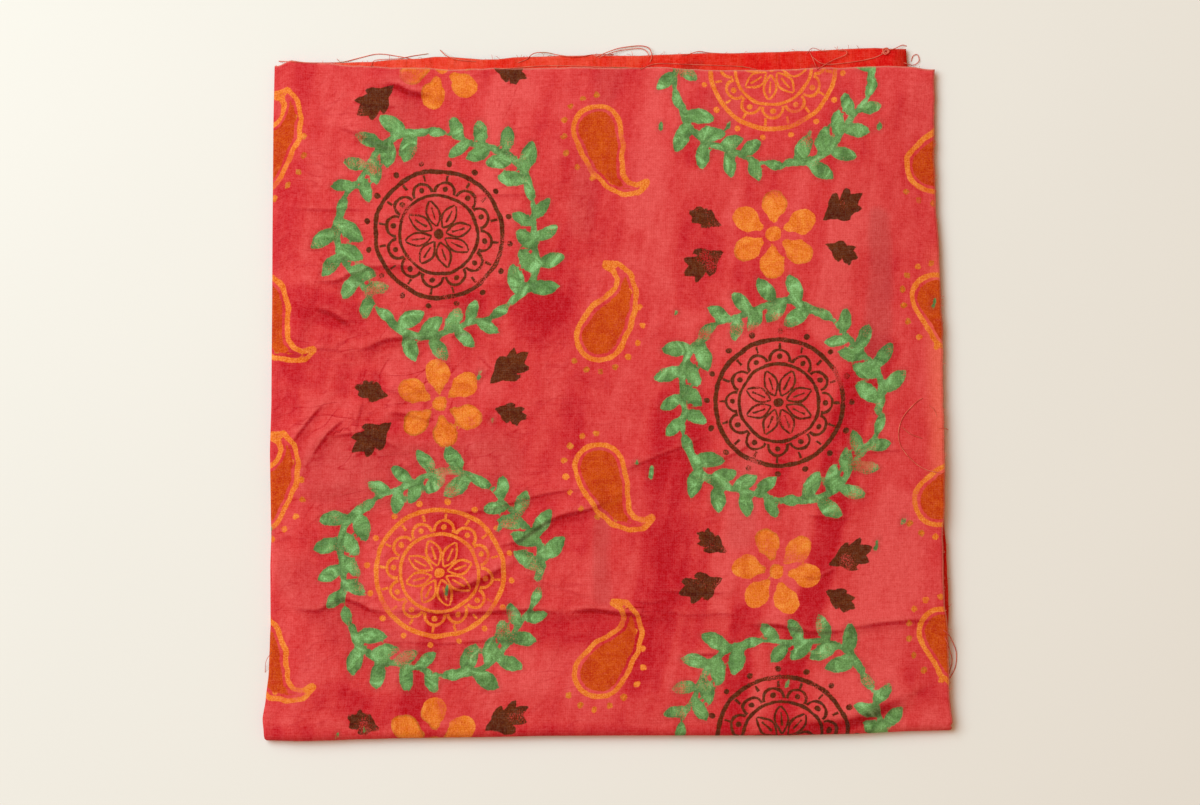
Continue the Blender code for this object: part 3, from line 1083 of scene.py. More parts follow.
@dataclass
class BlockPrint:
    """The whole print: wreathed rosettes in half-drop, with flowers and paisleys between them.

    Attributes:
        across: Distance between two columns of rosettes, in mm.
        along: Distance between two rosettes of a column.
        first: Middle of the rosette that the others are counted from.
        rosette_reach: How far from its middle a rosette's lines go.
        uneven_cut: How far the blocks' edges stray from their lines.
        drips: How many spots of the leaves' colour fall beside their motifs.
        drip_field: From where to where they fall, each way.
        drip_length: Length of the shortest and of the longest.
        drip_radius: Radius of the thinnest and of the thickest.
    """

    across: float = 114.0
    along: float = 115.0
    first: Place = (-57.0, 56.0)
    rosette_reach: float = 27.0
    uneven_cut: float = 0.35
    drips: int = 70
    drip_field: Place = (-340.0, 114.0)
    drip_length: Place = (0.5, 3.5)
    drip_radius: Place = (0.55, 0.95)
    wreath: Wreath = field(default_factory=Wreath)
    blossom: Blossom = field(default_factory=Blossom)
    paisley: Paisley = field(default_factory=Paisley)
    wobble: SoftNoise = field(default_factory=lambda: SoftNoise(31))
    cross_wobble: SoftNoise = field(default_factory=lambda: SoftNoise(32))

    def printed(self, s: Array, t: Array) -> Impressions:
        """Print the flat cloth.

        Args:
            s: Places across the flat cloth, in mm.
            t: Places along the flat cloth, in mm.

        Returns:
            The impressions, place by place.
        """
        cut_s = s + self.uneven_cut * self.wobble.at(s, t, 5.0)
        cut_t = t + self.uneven_cut * self.cross_wobble.at(s, t, 5.0)
        cloth = Impressions(cut_s, cut_t)
        draw = np.random.default_rng(33)
        for column in range(-3, 3):
            for row in range(-4, 3):
                middle = (
                    self.first[0] + column * self.across,
                    self.first[1] + (row + 0.5 * (column % 2)) * self.along,
                )
                self.unit(cloth, middle, (column + 2 * row) % 3, draw)
        self.drip(cloth, draw)
        return cloth

    def unit(self, cloth: Impressions, middle: Place, kind: int, draw: np.random.Generator) -> None:
        """Print one repeat: a wreathed rosette, the flower under it and two paisleys beside it."""
        self.wreath.print_on(cloth, middle, draw)
        colour = -1.0 if kind == 1 else 1.0
        cloth.place_rosette(middle, draw.uniform(0, 1), self.rosette_reach, colour)
        below = (middle[0] + draw.uniform(-1, 1), middle[1] - self.along / 2)
        self.blossom.print_on(cloth, below, draw)
        for side in (-1, 1):
            place = (middle[0] + self.across / 2, middle[1] + side * self.along / 4)
            turn = side * 0.5 + draw.uniform(-0.1, 0.1) + (math.pi if side > 0 else 0.0)
            self.paisley.print_on(cloth, place, turn)

    def drip(self, cloth: Impressions, draw: np.random.Generator) -> None:
        """Drip a few spots of the leaves' colour beside their motifs."""
        for _ in range(self.drips):
            place = tuple(draw.uniform(*self.drip_field, 2))
            length = draw.uniform(*self.drip_length)
            radius = draw.uniform(*self.drip_radius)
            knots = ((0.0, 0.0, radius), (length * 0.2, length, radius * 0.8))
            cloth.stamp(Plate.LEAF, place, 0.0, lambda x, y, knots=knots: tapered_stroke(x, y, knots))


# ---- Shader building ----


def ink(red: int, green: int, blue: int) -> Colour:
    """Turn a colour as mixed for a screen, 0 to 255, into the scene's own scale."""
    linear = []
    for value in (red, green, blue):
        share = value / 255
        linear.append(share / 12.92 if share <= 0.04045 else ((share + 0.055) / 1.055) ** 2.4)
    return (*linear, 1.0)


class Value:
    """A number, place or colour that a node gives, on which sums can be written."""

    def __init__(self, graph: "Graph", socket: bpy.types.NodeSocket) -> None:
        """Stand for a node's output."""
        self.graph, self.socket = graph, socket

    def __add__(self, other: object) -> "Value":
        """Add a number."""
        return self.graph.math("ADD", self, other)

    def __sub__(self, other: object) -> "Value":
        """Take a number away."""
        return self.graph.math("SUBTRACT", self, other)

    def __rsub__(self, other: object) -> "Value":
        """Take this away from a number."""
        return self.graph.math("SUBTRACT", other, self)

    def __mul__(self, other: object) -> "Value":
        """Multiply by a number."""
        return self.graph.math("MULTIPLY", self, other)

    def __truediv__(self, other: object) -> "Value":
        """Divide by a number."""
        return self.graph.math("DIVIDE", self, other)

    def __abs__(self) -> "Value":
        """Drop the sign."""
        return self.graph.math("ABSOLUTE", self)

    __radd__ = __add__


class Graph:
    """Short calls for adding linked nodes to a tree."""

    def __init__(self, tree: bpy.types.NodeTree) -> None:
        """Work on a tree."""
        self.tree = tree

    def feed(self, socket: bpy.types.NodeSocket, value: object) -> None:
        """Link a socket, or set its value."""
        if isinstance(value, Value):
            self.tree.links.new(value.socket, socket)
        else:
            socket.default_value = value

    def node(self, kind: str, inputs: dict[int | str, object], **settings: object) -> bpy.types.Node:
        """Add a node, set its options and feed its inputs."""
        node = self.tree.nodes.new(kind)
        for name, value in settings.items():
            setattr(node, name, value)
        for name, value in inputs.items():
            self.feed(node.inputs[name], value)
        return node

    def value(self, kind: str, inputs: dict[int | str, object], output: int | str = 0,
              **settings: object) -> Value:
        """Add a node and take one of its outputs."""
        return Value(self, self.node(kind, inputs, **settings).outputs[output])

    def math(self, operation: str, first: object, second: object = 0.0, clamp: bool = False) -> Value:
        """Do a sum on one or two numbers."""
        return self.value("ShaderNodeMath", {0: first, 1: second}, operation=operation, use_clamp=clamp)

    def smallest(self, *values: Value) -> Value:
        """Take the smallest of some numbers."""
        return reduce(lambda first, second: self.math("MINIMUM", first, second), values)

    def largest(self, *values: Value) -> Value:
        """Take the largest of some numbers."""
        return reduce(lambda first, second: self.math("MAXIMUM", first, second), values)

    def ease(self, value: Value, low: float, high: float) -> Value:
        """Go smoothly from 0 where a number is low to 1 where it is high."""
        rises = low < high
        inputs = {
            "Value": value,
            "From Min": min(low, high),
            "From Max": max(low, high),
            "To Min": 0.0 if rises else 1.0,
            "To Max": 1.0 if rises else 0.0,
        }
        return self.value("ShaderNodeMapRange", inputs, "Result", interpolation_type="SMOOTHSTEP")

    def turned(self, place: Value, angle: float) -> Value:
        """Turn a place about the middle, the other way round from the angle."""
        inputs = {"Vector": place, "Angle": -angle}
        return self.value("ShaderNodeVectorRotate", inputs, rotation_type="Z_AXIS")

    def scaled(self, place: Value, across: float, along: float) -> Value:
        """Stretch a place each way."""
        return self.value("ShaderNodeVectorMath", {0: place, 1: (across, along, 1.0)}, operation="MULTIPLY")

    def split(self, place: Value) -> tuple[Value, ...]:
        """Split a place into its three numbers."""
        node = self.node("ShaderNodeSeparateXYZ", {0: place})
        return tuple(Value(self, socket) for socket in node.outputs)

    def noise(self, place: Value, length: float, detail: float = 2.0, rough: float = 0.5,
              bend: float = 0.0, dimensions: str = "2D") -> Value:
        """Make cloudy noise from 0 to 1 whose clouds are about a length apart."""
        inputs = {
            "Vector": place,
            "Scale": 1 / length,
            "Detail": detail,
            "Roughness": rough,
            "Distortion": bend,
        }
        return self.value("ShaderNodeTexNoise", inputs, noise_dimensions=dimensions)

    def mix(self, share: object, first: object, second: object, blend_type: str = "MIX") -> Value:
        """Mix two colours."""
        inputs = {0: share, 6: first, 7: second}
        return self.value(
            "ShaderNodeMix", inputs, 2, data_type="RGBA", blend_type=blend_type, clamp_factor=True
        )

    def ramp(self, value: Value, stops: Stops) -> Value:
        """Turn a number into a colour by stops."""
        node = self.node("ShaderNodeValToRGB", {0: value})
        elements = node.color_ramp.elements
        while len(elements) < len(stops):
            elements.new(1.0)
        for element, (position, colour) in zip(elements, stops):
            element.position = position
            element.color = colour
        return Value(self, node.outputs[0])

    def fuzzed(self, colour: Value, fuzz: Value) -> Value:
        """Make a colour lighter and whiter where there is fuzz and painted highlight on raised yarns, and
        the other way where it is bare.
        """
        inputs = {0: colour, 1: fuzz * 0.5 + 1.0, 2: fuzz * 0.14}
        return self.value("ShaderNodeVectorMath", inputs, operation="MULTIPLY_ADD")

    def cloth_place(self) -> Value:
        """Read the place on the flat cloth, in mm."""
        return self.value("ShaderNodeUVMap", {}, "UV", uv_map=FLAT_MAP)

    def object_place(self) -> Value:
        """Read the place on the piece, in metres."""
        return self.value("ShaderNodeTexCoord", {}, "Object")

    def attribute(self, name: str, output: str = "Fac") -> Value:
        """Read one of the mesh's attributes."""
        return self.value("ShaderNodeAttribute", {}, output, attribute_name=name)

    def bump(self, height: Value, rise: float) -> Value:
        """Turn heights into a normal, where a height of one stands rise mm high."""
        inputs = {"Strength": 1.0, "Distance": rise * MM, "Height": height}
        return self.value("ShaderNodeBump", inputs)

    def group(self, tree: bpy.types.NodeTree, **values: object) -> dict[str, Value]:
        """Place a shared group, feed its inputs and give its outputs by name."""
        node = self.node("ShaderNodeGroup", values, node_tree=tree)
        return {socket.name: Value(self, socket) for socket in node.outputs}


class SharedGroup:
    """A shader group that several finishes place, each with its own values.

    Attributes:
        name: The group's name.
        places: Its inputs that take a place.
        numbers: Its inputs that take a number.
        outputs: What it gives, each a number.
    """

    name = ""
    places: tuple[str, ...] = ("Place",)
    numbers: tuple[str, ...] = ()
    outputs: tuple[str, ...] = ()

    @classmethod
    def tree(cls) -> bpy.types.NodeTree:
        """Give the group, building it the first time."""
        if cls.name in bpy.data.node_groups:
            return bpy.data.node_groups[cls.name]
        made = bpy.data.node_groups.new(cls.name, "ShaderNodeTree")
        for name in cls.places:
            made.interface.new_socket(name, in_out="INPUT", socket_type="NodeSocketVector")
        for name in cls.numbers:
            made.interface.new_socket(name, in_out="INPUT", socket_type="NodeSocketFloat")
        for name in cls.outputs:
            made.interface.new_socket(name, in_out="OUTPUT", socket_type="NodeSocketFloat")
        graph = Graph(made)
        source, target = graph.node("NodeGroupInput", {}), graph.node("NodeGroupOutput", {})
        results = cls.build(graph, {socket.name: Value(graph, socket) for socket in source.outputs})
        for name, result in zip(cls.outputs, results):
            graph.feed(target.inputs[name], result)
        return made

    @classmethod
    def build(cls, graph: Graph, given: dict[str, Value]) -> tuple[Value, ...]:
        """Build the group's nodes and give what its outputs take."""
        raise NotImplementedError


class Weave(SharedGroup):
    """Plain weave of uneven yarns: its height, and how pale its fuzz and a painted highlight on its raised
    yarns make each place.
    """

    name = "plain weave"
    numbers = ("Pitch",)
    outputs = ("Height", "FuzzAndHighlight")

    @classmethod
    def build(cls, graph: Graph, given: dict[str, Value]) -> tuple[Value, ...]:
        """Cross two sets of yarns, each thick and thin along its length."""
        place, pitch = given["Place"], given["Pitch"]
        s, t, _ = graph.split(place)
        wander_s = (graph.noise(graph.scaled(place, 1.0, 0.08), 1.7) - 0.5) * 0.9
        wander_t = (graph.noise(graph.scaled(place, 0.08, 1.0), 1.7) - 0.5) * 0.9
        turns_s, turns_t = (s + wander_s) / pitch, (t + wander_t) / pitch
        warp = graph.math("COSINE", turns_s * (2 * math.pi))
        weft = graph.math("COSINE", turns_t * (2 * math.pi))
        over = graph.math("COSINE", turns_s * math.pi) * graph.math("COSINE", turns_t * math.pi)
        share = over * 0.5 + 0.5
        raised = warp * share + weft * (1.0 - share)
        thick_warp = graph.noise(graph.scaled(place, 1.0, 0.07), 0.42, 1.0)
        thick_weft = graph.noise(graph.scaled(place, 0.07, 1.0), 0.42, 1.0)
        slub = thick_warp * 0.8 + thick_weft * 1.2 - 1.0
        fluff = graph.noise(place, 0.55, 2.0, 0.8) - 0.5
        specks = graph.noise(place, 1.5, 2.0, 0.7) - 0.5
        height = raised * 0.5 + (slub + fluff * 0.8)
        # The raised yarns' share is a painted highlight; the slubs, fluff and specks are the yarns' own
        # tone.
        return height, raised * 0.05 + slub * 0.12 + (fluff * 0.44 + specks * 0.36)


class BlockPaint(SharedGroup):
    """Paint from a hand-cut block: where it lies, its rim, how thickly it took and its stain."""

    name = "block paint"
    numbers = ("Distance", "Ragged", "Dryness", "Grain")
    outputs = ("Cover", "Rim", "Thickness", "Stain")

    @classmethod
    def build(cls, graph: Graph, given: dict[str, Value]) -> tuple[Value, ...]:
        """Roughen the edge, then wear the paint away where it was dry."""
        place, share = given["Place"], given["Grain"]
        coarse = graph.noise(place, 2.6, 2.0, 0.6) - 0.5
        distance = given["Distance"] + coarse * given["Ragged"]
        edge = graph.ease(distance, 0.16, -0.16)
        grain = graph.noise(place, 0.5, 2.0, 0.75)
        patches = graph.noise(place, 15.0, 2.0, 0.55)
        over = grain * 0.35 + patches * 0.65 + given["Dryness"] - 0.64
        kept = 1.0 - graph.ease(over, -0.02, 0.06) * 0.75
        rim = edge * graph.ease(distance, -0.95, -0.1)
        clouds = graph.noise(place, 6.0, 3.0, 0.6, 1.0)
        strong_grain = (grain - 0.5) * 1.4 + 0.5
        thickness = strong_grain * share + clouds * (1.0 - share)
        return edge * kept, rim, thickness, graph.ease(distance, 1.7, 0.1) * (1.0 - edge)


class MicroCreases(SharedGroup):
    """Fine hard creases, a few millimetres apart: their lines of painted shade, the painted highlight on
    one side of each, and their height.
    """

    name = "micro creases"
    numbers = ("Amount",)
    outputs = ("Line", "Pale", "Height")

    @classmethod
    def build(cls, graph: Graph, given: dict[str, Value]) -> tuple[Value, ...]:
        """Draw them where long clouds, slanting two ways, cross their middle value."""
        line, pale, swell = 0.0, 0.0, 0.0
        for angle, apart, stretch, share in ((0.12, 4.4, 0.22, 1.0), (0.95, 6.0, 0.30, 0.8)):
            along = graph.scaled(graph.turned(given["Place"], angle), stretch, 1.0)
            level = graph.noise(along, apart, 1.0, 0.4) - 0.5
            broken = graph.ease(graph.noise(given["Place"], 7.0 + apart, 2.0, 0.6), 0.46, 0.62)
            stroke = graph.ease(abs(level), 0.045, 0.0)
            # A painted highlight along one side of each fine crease.
            side = graph.ease(level, 0.0, 0.05) * graph.ease(level, 0.17, 0.05)
            line = line + stroke * broken * share
            pale = pale + side * broken * share
            swell = swell + level * share
        return tuple(total * given["Amount"] for total in (line, pale, swell))


class CreaseLine(SharedGroup):
    """The painted shade and highlight along a crease's sharp line, from the attribute that holds the
    distance from it.
    """

    name = "crease line"
    places = ("Crease",)
    outputs = ("Line", "Shadow", "Ridge")
    # Middle and reach, in line widths, of the line of painted shade, the band of painted shade on the near
    # side and the painted highlight on the far side.
    bands = ((0.0, 0.9), (-1.5, 1.5), (1.9, 0.8))

    @classmethod
    def build(cls, graph: Graph, given: dict[str, Value]) -> tuple[Value, ...]:
        """Draw a thin line of painted shade, a wider band of painted shade on its near side, and on its far
        side, which faces the lamp, a pale band that is abraded pale and painted as a highlight.
        """
        distance, strength, width = graph.split(given["Crease"])
        across = distance / width
        results = []
        for middle, reach in cls.bands:
            away = abs((across - middle) * (1 / reach))
            results.append(graph.math("EXPONENT", graph.math("POWER", away, 2.8) * -1.0) * strength)
        return tuple(results)


class RosetteLines(SharedGroup):
    """The line work of a rosette, as the distance from its nearest line."""

    name = "rosette lines"
    outputs = ("Distance", "Kind")

    @classmethod
    def sector(cls, graph: Graph, angle: Value, radius: Value, count: int,
               shift: float = 0.0) -> tuple[Value, Value]:
        """Fold the plane into equal sectors and give a place along and across its own."""
        turns = angle * (count / (2 * math.pi)) + shift
        local = (graph.math("FRACT", turns) - 0.5) * (2 * math.pi / count)
        return radius * graph.math("COSINE", local), radius * graph.math("SINE", local)

    @classmethod
    def reach(cls, graph: Graph, x: Value, y: Value) -> Value:
        """Distance of a place from the middle."""
        return graph.math("SQRT", x * x + y * y)

    @classmethod
    def build(cls, graph: Graph, given: dict[str, Value]) -> tuple[Value, ...]:
        """Draw two rings, arches between them, petals inside and dots outside."""
        x, y, kind = graph.split(given["Place"])
        radius = cls.reach(graph, x, y)
        angle = graph.math("ARCTAN2", y, x) + math.pi
        outer_ring = abs(radius - 21.5) - 0.75
        inner_ring = abs(radius - 13.2) - 0.55

        along, across = cls.sector(graph, angle, radius, 12)
        arch = cls.reach(graph, along - 14.6, across) - 3.3
        arches = graph.largest(abs(arch) - 0.5, 14.3 - radius)
        bead = cls.reach(graph, along - 15.6, across) - 0.95

        along, across = cls.sector(graph, angle, radius, 8)
        half_width = graph.math("SINE", (along - 2.6) * (math.pi / 9.2)) * 2.3
        petals = graph.largest(abs(abs(across) - half_width) - 0.42, 2.6 - along, along - 11.6)
        vein = graph.largest(abs(across) - 0.33, abs(along - 7.2) - 2.2)

        along, across = cls.sector(graph, angle, radius, 16, 0.5)
        outer_dot = cls.reach(graph, along - 24.4, across) - 1.0
        ticks = graph.largest(abs(across) - 0.42, abs(along - 19.3) - 1.1)
        middle = radius - 1.7
        lines = graph.smallest(outer_ring, inner_ring, arches, bead, petals, vein, outer_dot, ticks, middle)
        return lines, kind


class RawEdge(SharedGroup):
    """How near a place is to a raw edge of the flat cloth."""

    name = "raw edge"
    numbers = ("Right", "Far", "Width")
    outputs = ("Edge",)

    @classmethod
    def build(cls, graph: Graph, given: dict[str, Value]) -> tuple[Value, ...]:
        """Take the nearer of the right edge and the far edge."""
        s, t, _ = graph.split(given["Place"])
        from_edge = graph.smallest(given["Right"] - s, given["Far"] - t)
        return (graph.math("SUBTRACT", 1.0, from_edge / given["Width"], clamp=True),)


# ---- Finishes ----


class Finish:
    """A surface's looks.

    Attributes:
        name: The material's name.
        specular: How much it mirrors.
    """

    name = ""
    specular = 0.2

    def material(self) -> bpy.types.Material:
        """Build the finish."""
        made = bpy.data.materials.new(self.name)
        made.use_nodes = True
        graph = Graph(made.node_tree)
        surface = made.node_tree.nodes["Principled BSDF"]
        surface.inputs["Specular IOR Level"].default_value = self.specular
        for name, value in zip(("Base Color", "Roughness", "Normal"), self.look(graph)):
            graph.feed(surface.inputs[name], value)
        return made

    def look(self, graph: Graph) -> tuple[object, ...]:
        """Give its colour, its roughness and, where it has one, its normal."""
        raise NotImplementedError


@dataclass(frozen=True)
class CottonSide(Finish):
    """What both sides of the cotton share: its weave, and its raw edges, which are paler.

    Attributes:
        plan: How the cloth is folded, for the places of its edges.
        pitch: From one yarn of the weave to the next, in mm.
    """

    plan: FoldPlan
    pitch: float = 0.62

    def pale_edge(self, graph: Graph, place: Value, width: float) -> Value:
        """Say how near each place is to a raw edge, from 0 where it is as far as a width in mm."""
        right, far = self.plan.across.ends[1], self.plan.along.ends[1]
        return graph.group(RawEdge.tree(), Place=place, Right=right, Far=far, Width=width)["Edge"]

    def woven(self, graph: Graph, place: Value, colour: Value, rise: float,
              *swells: Value) -> tuple[Value, ...]:
        """Add the weave.

        Args:
            graph: The material's nodes.
            place: The place on the flat cloth.
            colour: The colour of the cloth without its weave.
            rise: How high the weave stands, in mm.
            swells: What else lifts each place, in mm.

        Returns:
            The colour, the roughness and the normal.
        """
        weave = graph.group(Weave.tree(), Place=place, Pitch=self.pitch)
        height = sum(swells, weave["Height"] * rise)
        return graph.fuzzed(colour, weave["FuzzAndHighlight"]), weave["Height"] * -0.04 + 0.88, graph.bump(height, 1.0)


@dataclass(frozen=True)
class PrintedSide(CottonSide):
    """The right side of the cotton: uneven red ground with the block print on it.

    Attributes:
        dyed: The ground's colours, from little dye to much.
        green, orange, brown, rust: The paints' colours, from thin to thick.
        green_rim, orange_rim: The rims of their paints.
        stain: The ground round the leaves.
        dull: The ground where it has gone dull.
        crease: The painted shade of a crease, in its line and in the band on its near side, and in the fine
            creases' lines.
        ridge: The crown beside it, abraded pale and painted as a highlight, and one side of each fine
            crease.
        edge: The cloth at a raw edge.
        right_band_colour: The paler ground in a band beside the middle of the right edge.
        kept: The share of each colour that painted shade leaves at the bottom of a crease.
    """

    name = "printed_cotton_right_side"
    dyed: Stops = (
        (0.05, ink(232, 83, 80)),
        (0.38, ink(221, 63, 62)),
        (0.66, ink(210, 46, 51)),
        (0.95, ink(195, 23, 36)),
    )
    green: Stops = (
        (0.34, ink(68, 120, 62)),
        (0.45, ink(92, 146, 80)),
        (0.55, ink(112, 170, 96)),
        (0.68, ink(146, 212, 136)),
    )
    orange: Stops = ((0.30, ink(216, 94, 26)), (0.50, ink(240, 124, 38)), (0.72, ink(255, 164, 70)))
    brown: Stops = ((0.30, ink(76, 32, 3)), (0.55, ink(92, 43, 5)), (0.78, ink(118, 60, 12)))
    rust: Stops = ((0.32, ink(190, 46, 0)), (0.70, ink(220, 92, 8)))
    green_rim: Colour = ink(62, 96, 54)
    orange_rim: Colour = ink(128, 62, 12)
    stain: Colour = ink(172, 58, 50)
    dull: Colour = ink(194, 79, 76)
    crease: Colour = ink(198, 15, 33)
    ridge: Colour = ink(236, 102, 96)
    edge: Colour = ink(240, 150, 128)
    right_band_colour: Colour = ink(250, 116, 90)
    kept: Colour = (0.74, 0.50, 0.56, 1.0)

    def ground(self, graph: Graph, place: Value, depth: Value, dull: Value) -> Value:
        """Colour the cloth by how much dye each place took, with the painted light and shade of its relief
        in that depth.
        """
        s, t, _ = graph.split(place)
        slanted = graph.value("ShaderNodeCombineXYZ", {0: s - t * 0.22, 1: t * 0.13})
        streaks = graph.noise(slanted, 5.5, 3.0, 0.55) - 0.5
        clouds = graph.noise(place, 26.0, 3.0, 0.5, 0.6) - 0.5
        blotches = graph.noise(graph.scaled(place, 1.0, 0.7), 5.0, 3.0, 0.6) - 0.5
        uneven = streaks * 0.65 + (clouds * 0.75 + blotches * 0.50)
        level = depth * 0.56 + 0.34 + uneven
        return graph.mix(dull * 0.5, graph.ramp(level, self.dyed), self.dull)

    def lighten_right_band(self, graph: Graph, ground: Value, place: Value) -> Value:
        """Pale the ground beside the middle of the right edge."""
        s, t, _ = graph.split(place)
        right, far = self.plan.across.ends[1], self.plan.along.ends[1]
        near_edge = graph.ease(s, right - 8.0, right - 1.0)
        above = graph.ease(t, far - 162.0, far - 140.0)
        below = graph.ease(t, far - 55.0, far - 80.0)
        return graph.mix(near_edge * 0.6 * (above * below), ground, self.right_band_colour)

    def paint(self, graph: Graph, place: Value, distance: Value, ragged: float, dryness: float,
              grain: float) -> dict[str, Value]:
        """Lay paint where a distance is below zero, in the shared group."""
        tree = BlockPaint.tree()
        return graph.group(
            tree, Distance=distance, Place=place, Ragged=ragged, Dryness=dryness, Grain=grain
        )

    def leaf_paint(self, graph: Graph, ground: Value, place: Value) -> Value:
        """Lay the leaves' green, mottled light and dark, with a dull stain round it."""
        paint = self.paint(graph, place, graph.attribute(Plate.LEAF.value), 0.9, 0.03, 0.25)
        stained = graph.mix(paint["Stain"] * 0.30, ground, self.stain)
        green = graph.mix(paint["Rim"] * 0.34, graph.ramp(paint["Thickness"], self.green), self.green_rim)
        return graph.mix(paint["Cover"] * 0.96, stained, green)

    def petal_paint(self, graph: Graph, ground: Value, place: Value) -> Value:
        """Lay the petals' orange, with a brown rim here and there."""
        paint = self.paint(graph, place, graph.attribute(Plate.PETAL.value), 0.8, 0.02, 0.45)
        rimmed = paint["Rim"] * graph.ease(graph.noise(place, 24.0, 1.0), 0.42, 0.66)
        orange = graph.mix(rimmed * 0.50, graph.ramp(paint["Thickness"], self.orange), self.orange_rim)
        return graph.mix(paint["Cover"] * 0.97, ground, orange)

    def dark_leaf_paint(self, graph: Graph, ground: Value, place: Value) -> Value:
        """Lay the dark leaves' brown, with the ground showing through in specks."""
        return self.brown_paint(graph, ground, place, graph.attribute(Plate.POD.value), 1.0)

    def brown_paint(self, graph: Graph, ground: Value, place: Value, distance: Value,
                    share: object) -> Value:
        """Lay brown paint where a distance is below zero."""
        paint = self.paint(graph, place, distance, 0.7, 0.03, 0.5)
        brown = graph.ramp(paint["Thickness"], self.brown)
        return graph.mix(paint["Cover"] * 0.97 * share, ground, brown)

    def drop_paint(self, graph: Graph, ground: Value, place: Value) -> Value:
        """Lay the paisleys: an orange rim, a bare line and a burnt orange core."""
        distance = graph.attribute(Plate.DROP.value)
        rim = self.paint(graph, place, abs(distance + 0.85) - 0.85, 0.6, 0.03, 0.6)
        core = self.paint(graph, place, distance + 2.75, 0.8, 0.0, 0.5)
        laid = graph.mix(rim["Cover"] * 0.96, ground, graph.ramp(rim["Thickness"], self.orange))
        return graph.mix(core["Cover"] * 0.99, laid, graph.ramp(core["Thickness"], self.rust))

    def rosette_paint(self, graph: Graph, ground: Value, place: Value) -> Value:
        """Lay the rosettes' lines, brown on most and orange on the rest."""
        lines = graph.group(RosetteLines.tree(), Place=graph.attribute(ROSETTE, "Vector"))
        distance, kind = lines["Distance"], lines["Kind"]
        brown = self.brown_paint(graph, ground, place, distance, graph.ease(kind, 0.3, 0.7))
        paint = self.paint(graph, place, distance, 0.5, 0.04, 0.6)
        cover = paint["Cover"] * 0.95 * graph.ease(kind, -0.3, -0.7)
        return graph.mix(cover, brown, graph.ramp(paint["Thickness"], self.orange))

    def creased(self, graph: Graph, ground: Value, place: Value, crumple: Value) -> tuple[Value, ...]:
        """Draw the creases' painted shade and highlights on the ground.

        Args:
            graph: The material's nodes.
            ground: The ground's colour.
            place: The place on the flat cloth.
            crumple: How crumpled each place is.

        Returns:
            The colour, how deep in a crease each place is, which sets the painted shade at its bottom, and
            the fine creases' height.
        """
        colour, depth = ground, 0.0
        for name in CREASE_LINES:
            crease = graph.group(CreaseLine.tree(), Crease=graph.attribute(name, "Vector"))
            # Painted highlight on the far side, painted shade on the near side and in the line.
            colour = graph.mix(crease["Ridge"] * 0.20, colour, self.ridge)
            colour = graph.mix(crease["Shadow"] * 0.50, colour, self.crease)
            colour = graph.mix(crease["Line"] * 1.2, colour, self.crease)
            depth = depth + crease["Line"]
        micro = graph.group(MicroCreases.tree(), Place=place, Amount=crumple)
        # Painted highlight on one side of each fine crease and painted shade in its line.
        colour = graph.mix(micro["Pale"] * 0.18, colour, self.ridge)
        colour = graph.mix(micro["Line"] * 0.75, colour, self.crease)
        return colour, depth + micro["Line"] * 0.3, micro["Height"]

    def look(self, graph: Graph) -> tuple[object, ...]:
        """Dye and crease the ground with painted shade and highlights, print on it, darken the bottoms of
        creases with painted shade and add the weave.
        """
        place = graph.cloth_place()
        depth, dull, crumple = graph.split(graph.attribute(DYE_SHADE_CRUMPLE, "Vector"))
        ground = self.lighten_right_band(graph, self.ground(graph, place, depth, dull), place)
        colour, crease, swell = self.creased(graph, ground, place, crumple)
        for paint in (
            self.petal_paint,
            self.drop_paint,
            self.rosette_paint,
            self.dark_leaf_paint,
            self.leaf_paint,
        ):
            colour = paint(graph, colour, place)
        # Painted shade: ground and paint darken alike at the bottom of each crease and fine crease.
        colour = graph.mix(crease, colour, self.kept, "MULTIPLY")
        colour = graph.mix(self.pale_edge(graph, place, 0.65) * 0.68, colour, self.edge)
        return self.woven(graph, place, colour, 0.040, crease * -0.12, swell * 0.5)


@dataclass(frozen=True)
class WrongSide(CottonSide):
    """The wrong side of the cotton: stronger red, with the print faint through it.

    Attributes:
        dyed: Its colours, from little dye to much.
        leaf, dark_leaf: Where the leaves and the dark leaves show through.
        edge: The cloth at a raw edge.
    """

    name = "printed_cotton_wrong_side"
    dyed: Stops = ((0.14, ink(235, 74, 50)), (0.42, ink(228, 46, 27)), (0.68, ink(221, 16, 2)))
    leaf: Colour = ink(120, 74, 34)
    dark_leaf: Colour = ink(120, 34, 20)
    edge: Colour = ink(246, 120, 92)

    def look(self, graph: Graph) -> tuple[object, ...]:
        """Dye the cloth, let the print show through and add the weave."""
        place = graph.cloth_place()
        s, _, _ = graph.split(place)
        fold = self.plan.across.ends[1] - self.plan.width
        past_fold = (fold - s) / self.plan.width
        clouds = graph.noise(graph.scaled(place, 1.0, 0.6), 12.0, 3.0, 0.6)
        level = graph.ease(past_fold, 0.48, 0.68) * 0.24 + ((clouds - 0.5) * 1.1 + 0.29)
        colour = graph.ramp(level, self.dyed)
        through = graph.ease(graph.attribute(Plate.LEAF.value), 0.5, -1.8)
        spotty = graph.ease(graph.noise(place, 5.0, 3.0, 0.6), 0.50, 0.66)
        colour = graph.mix(through * spotty * 0.55, colour, self.leaf)
        dark = graph.ease(graph.attribute(Plate.POD.value), 0.4, -1.0)
        colour = graph.mix(dark * 0.35, colour, self.dark_leaf)
        colour = graph.mix(self.pale_edge(graph, place, 0.6) * 0.35, colour, self.edge)
        upright = graph.noise(graph.scaled(place, 1.0, 0.22), 6.0, 2.0, 0.5, 0.4)
        return self.woven(graph, place, colour, 0.045, upright)


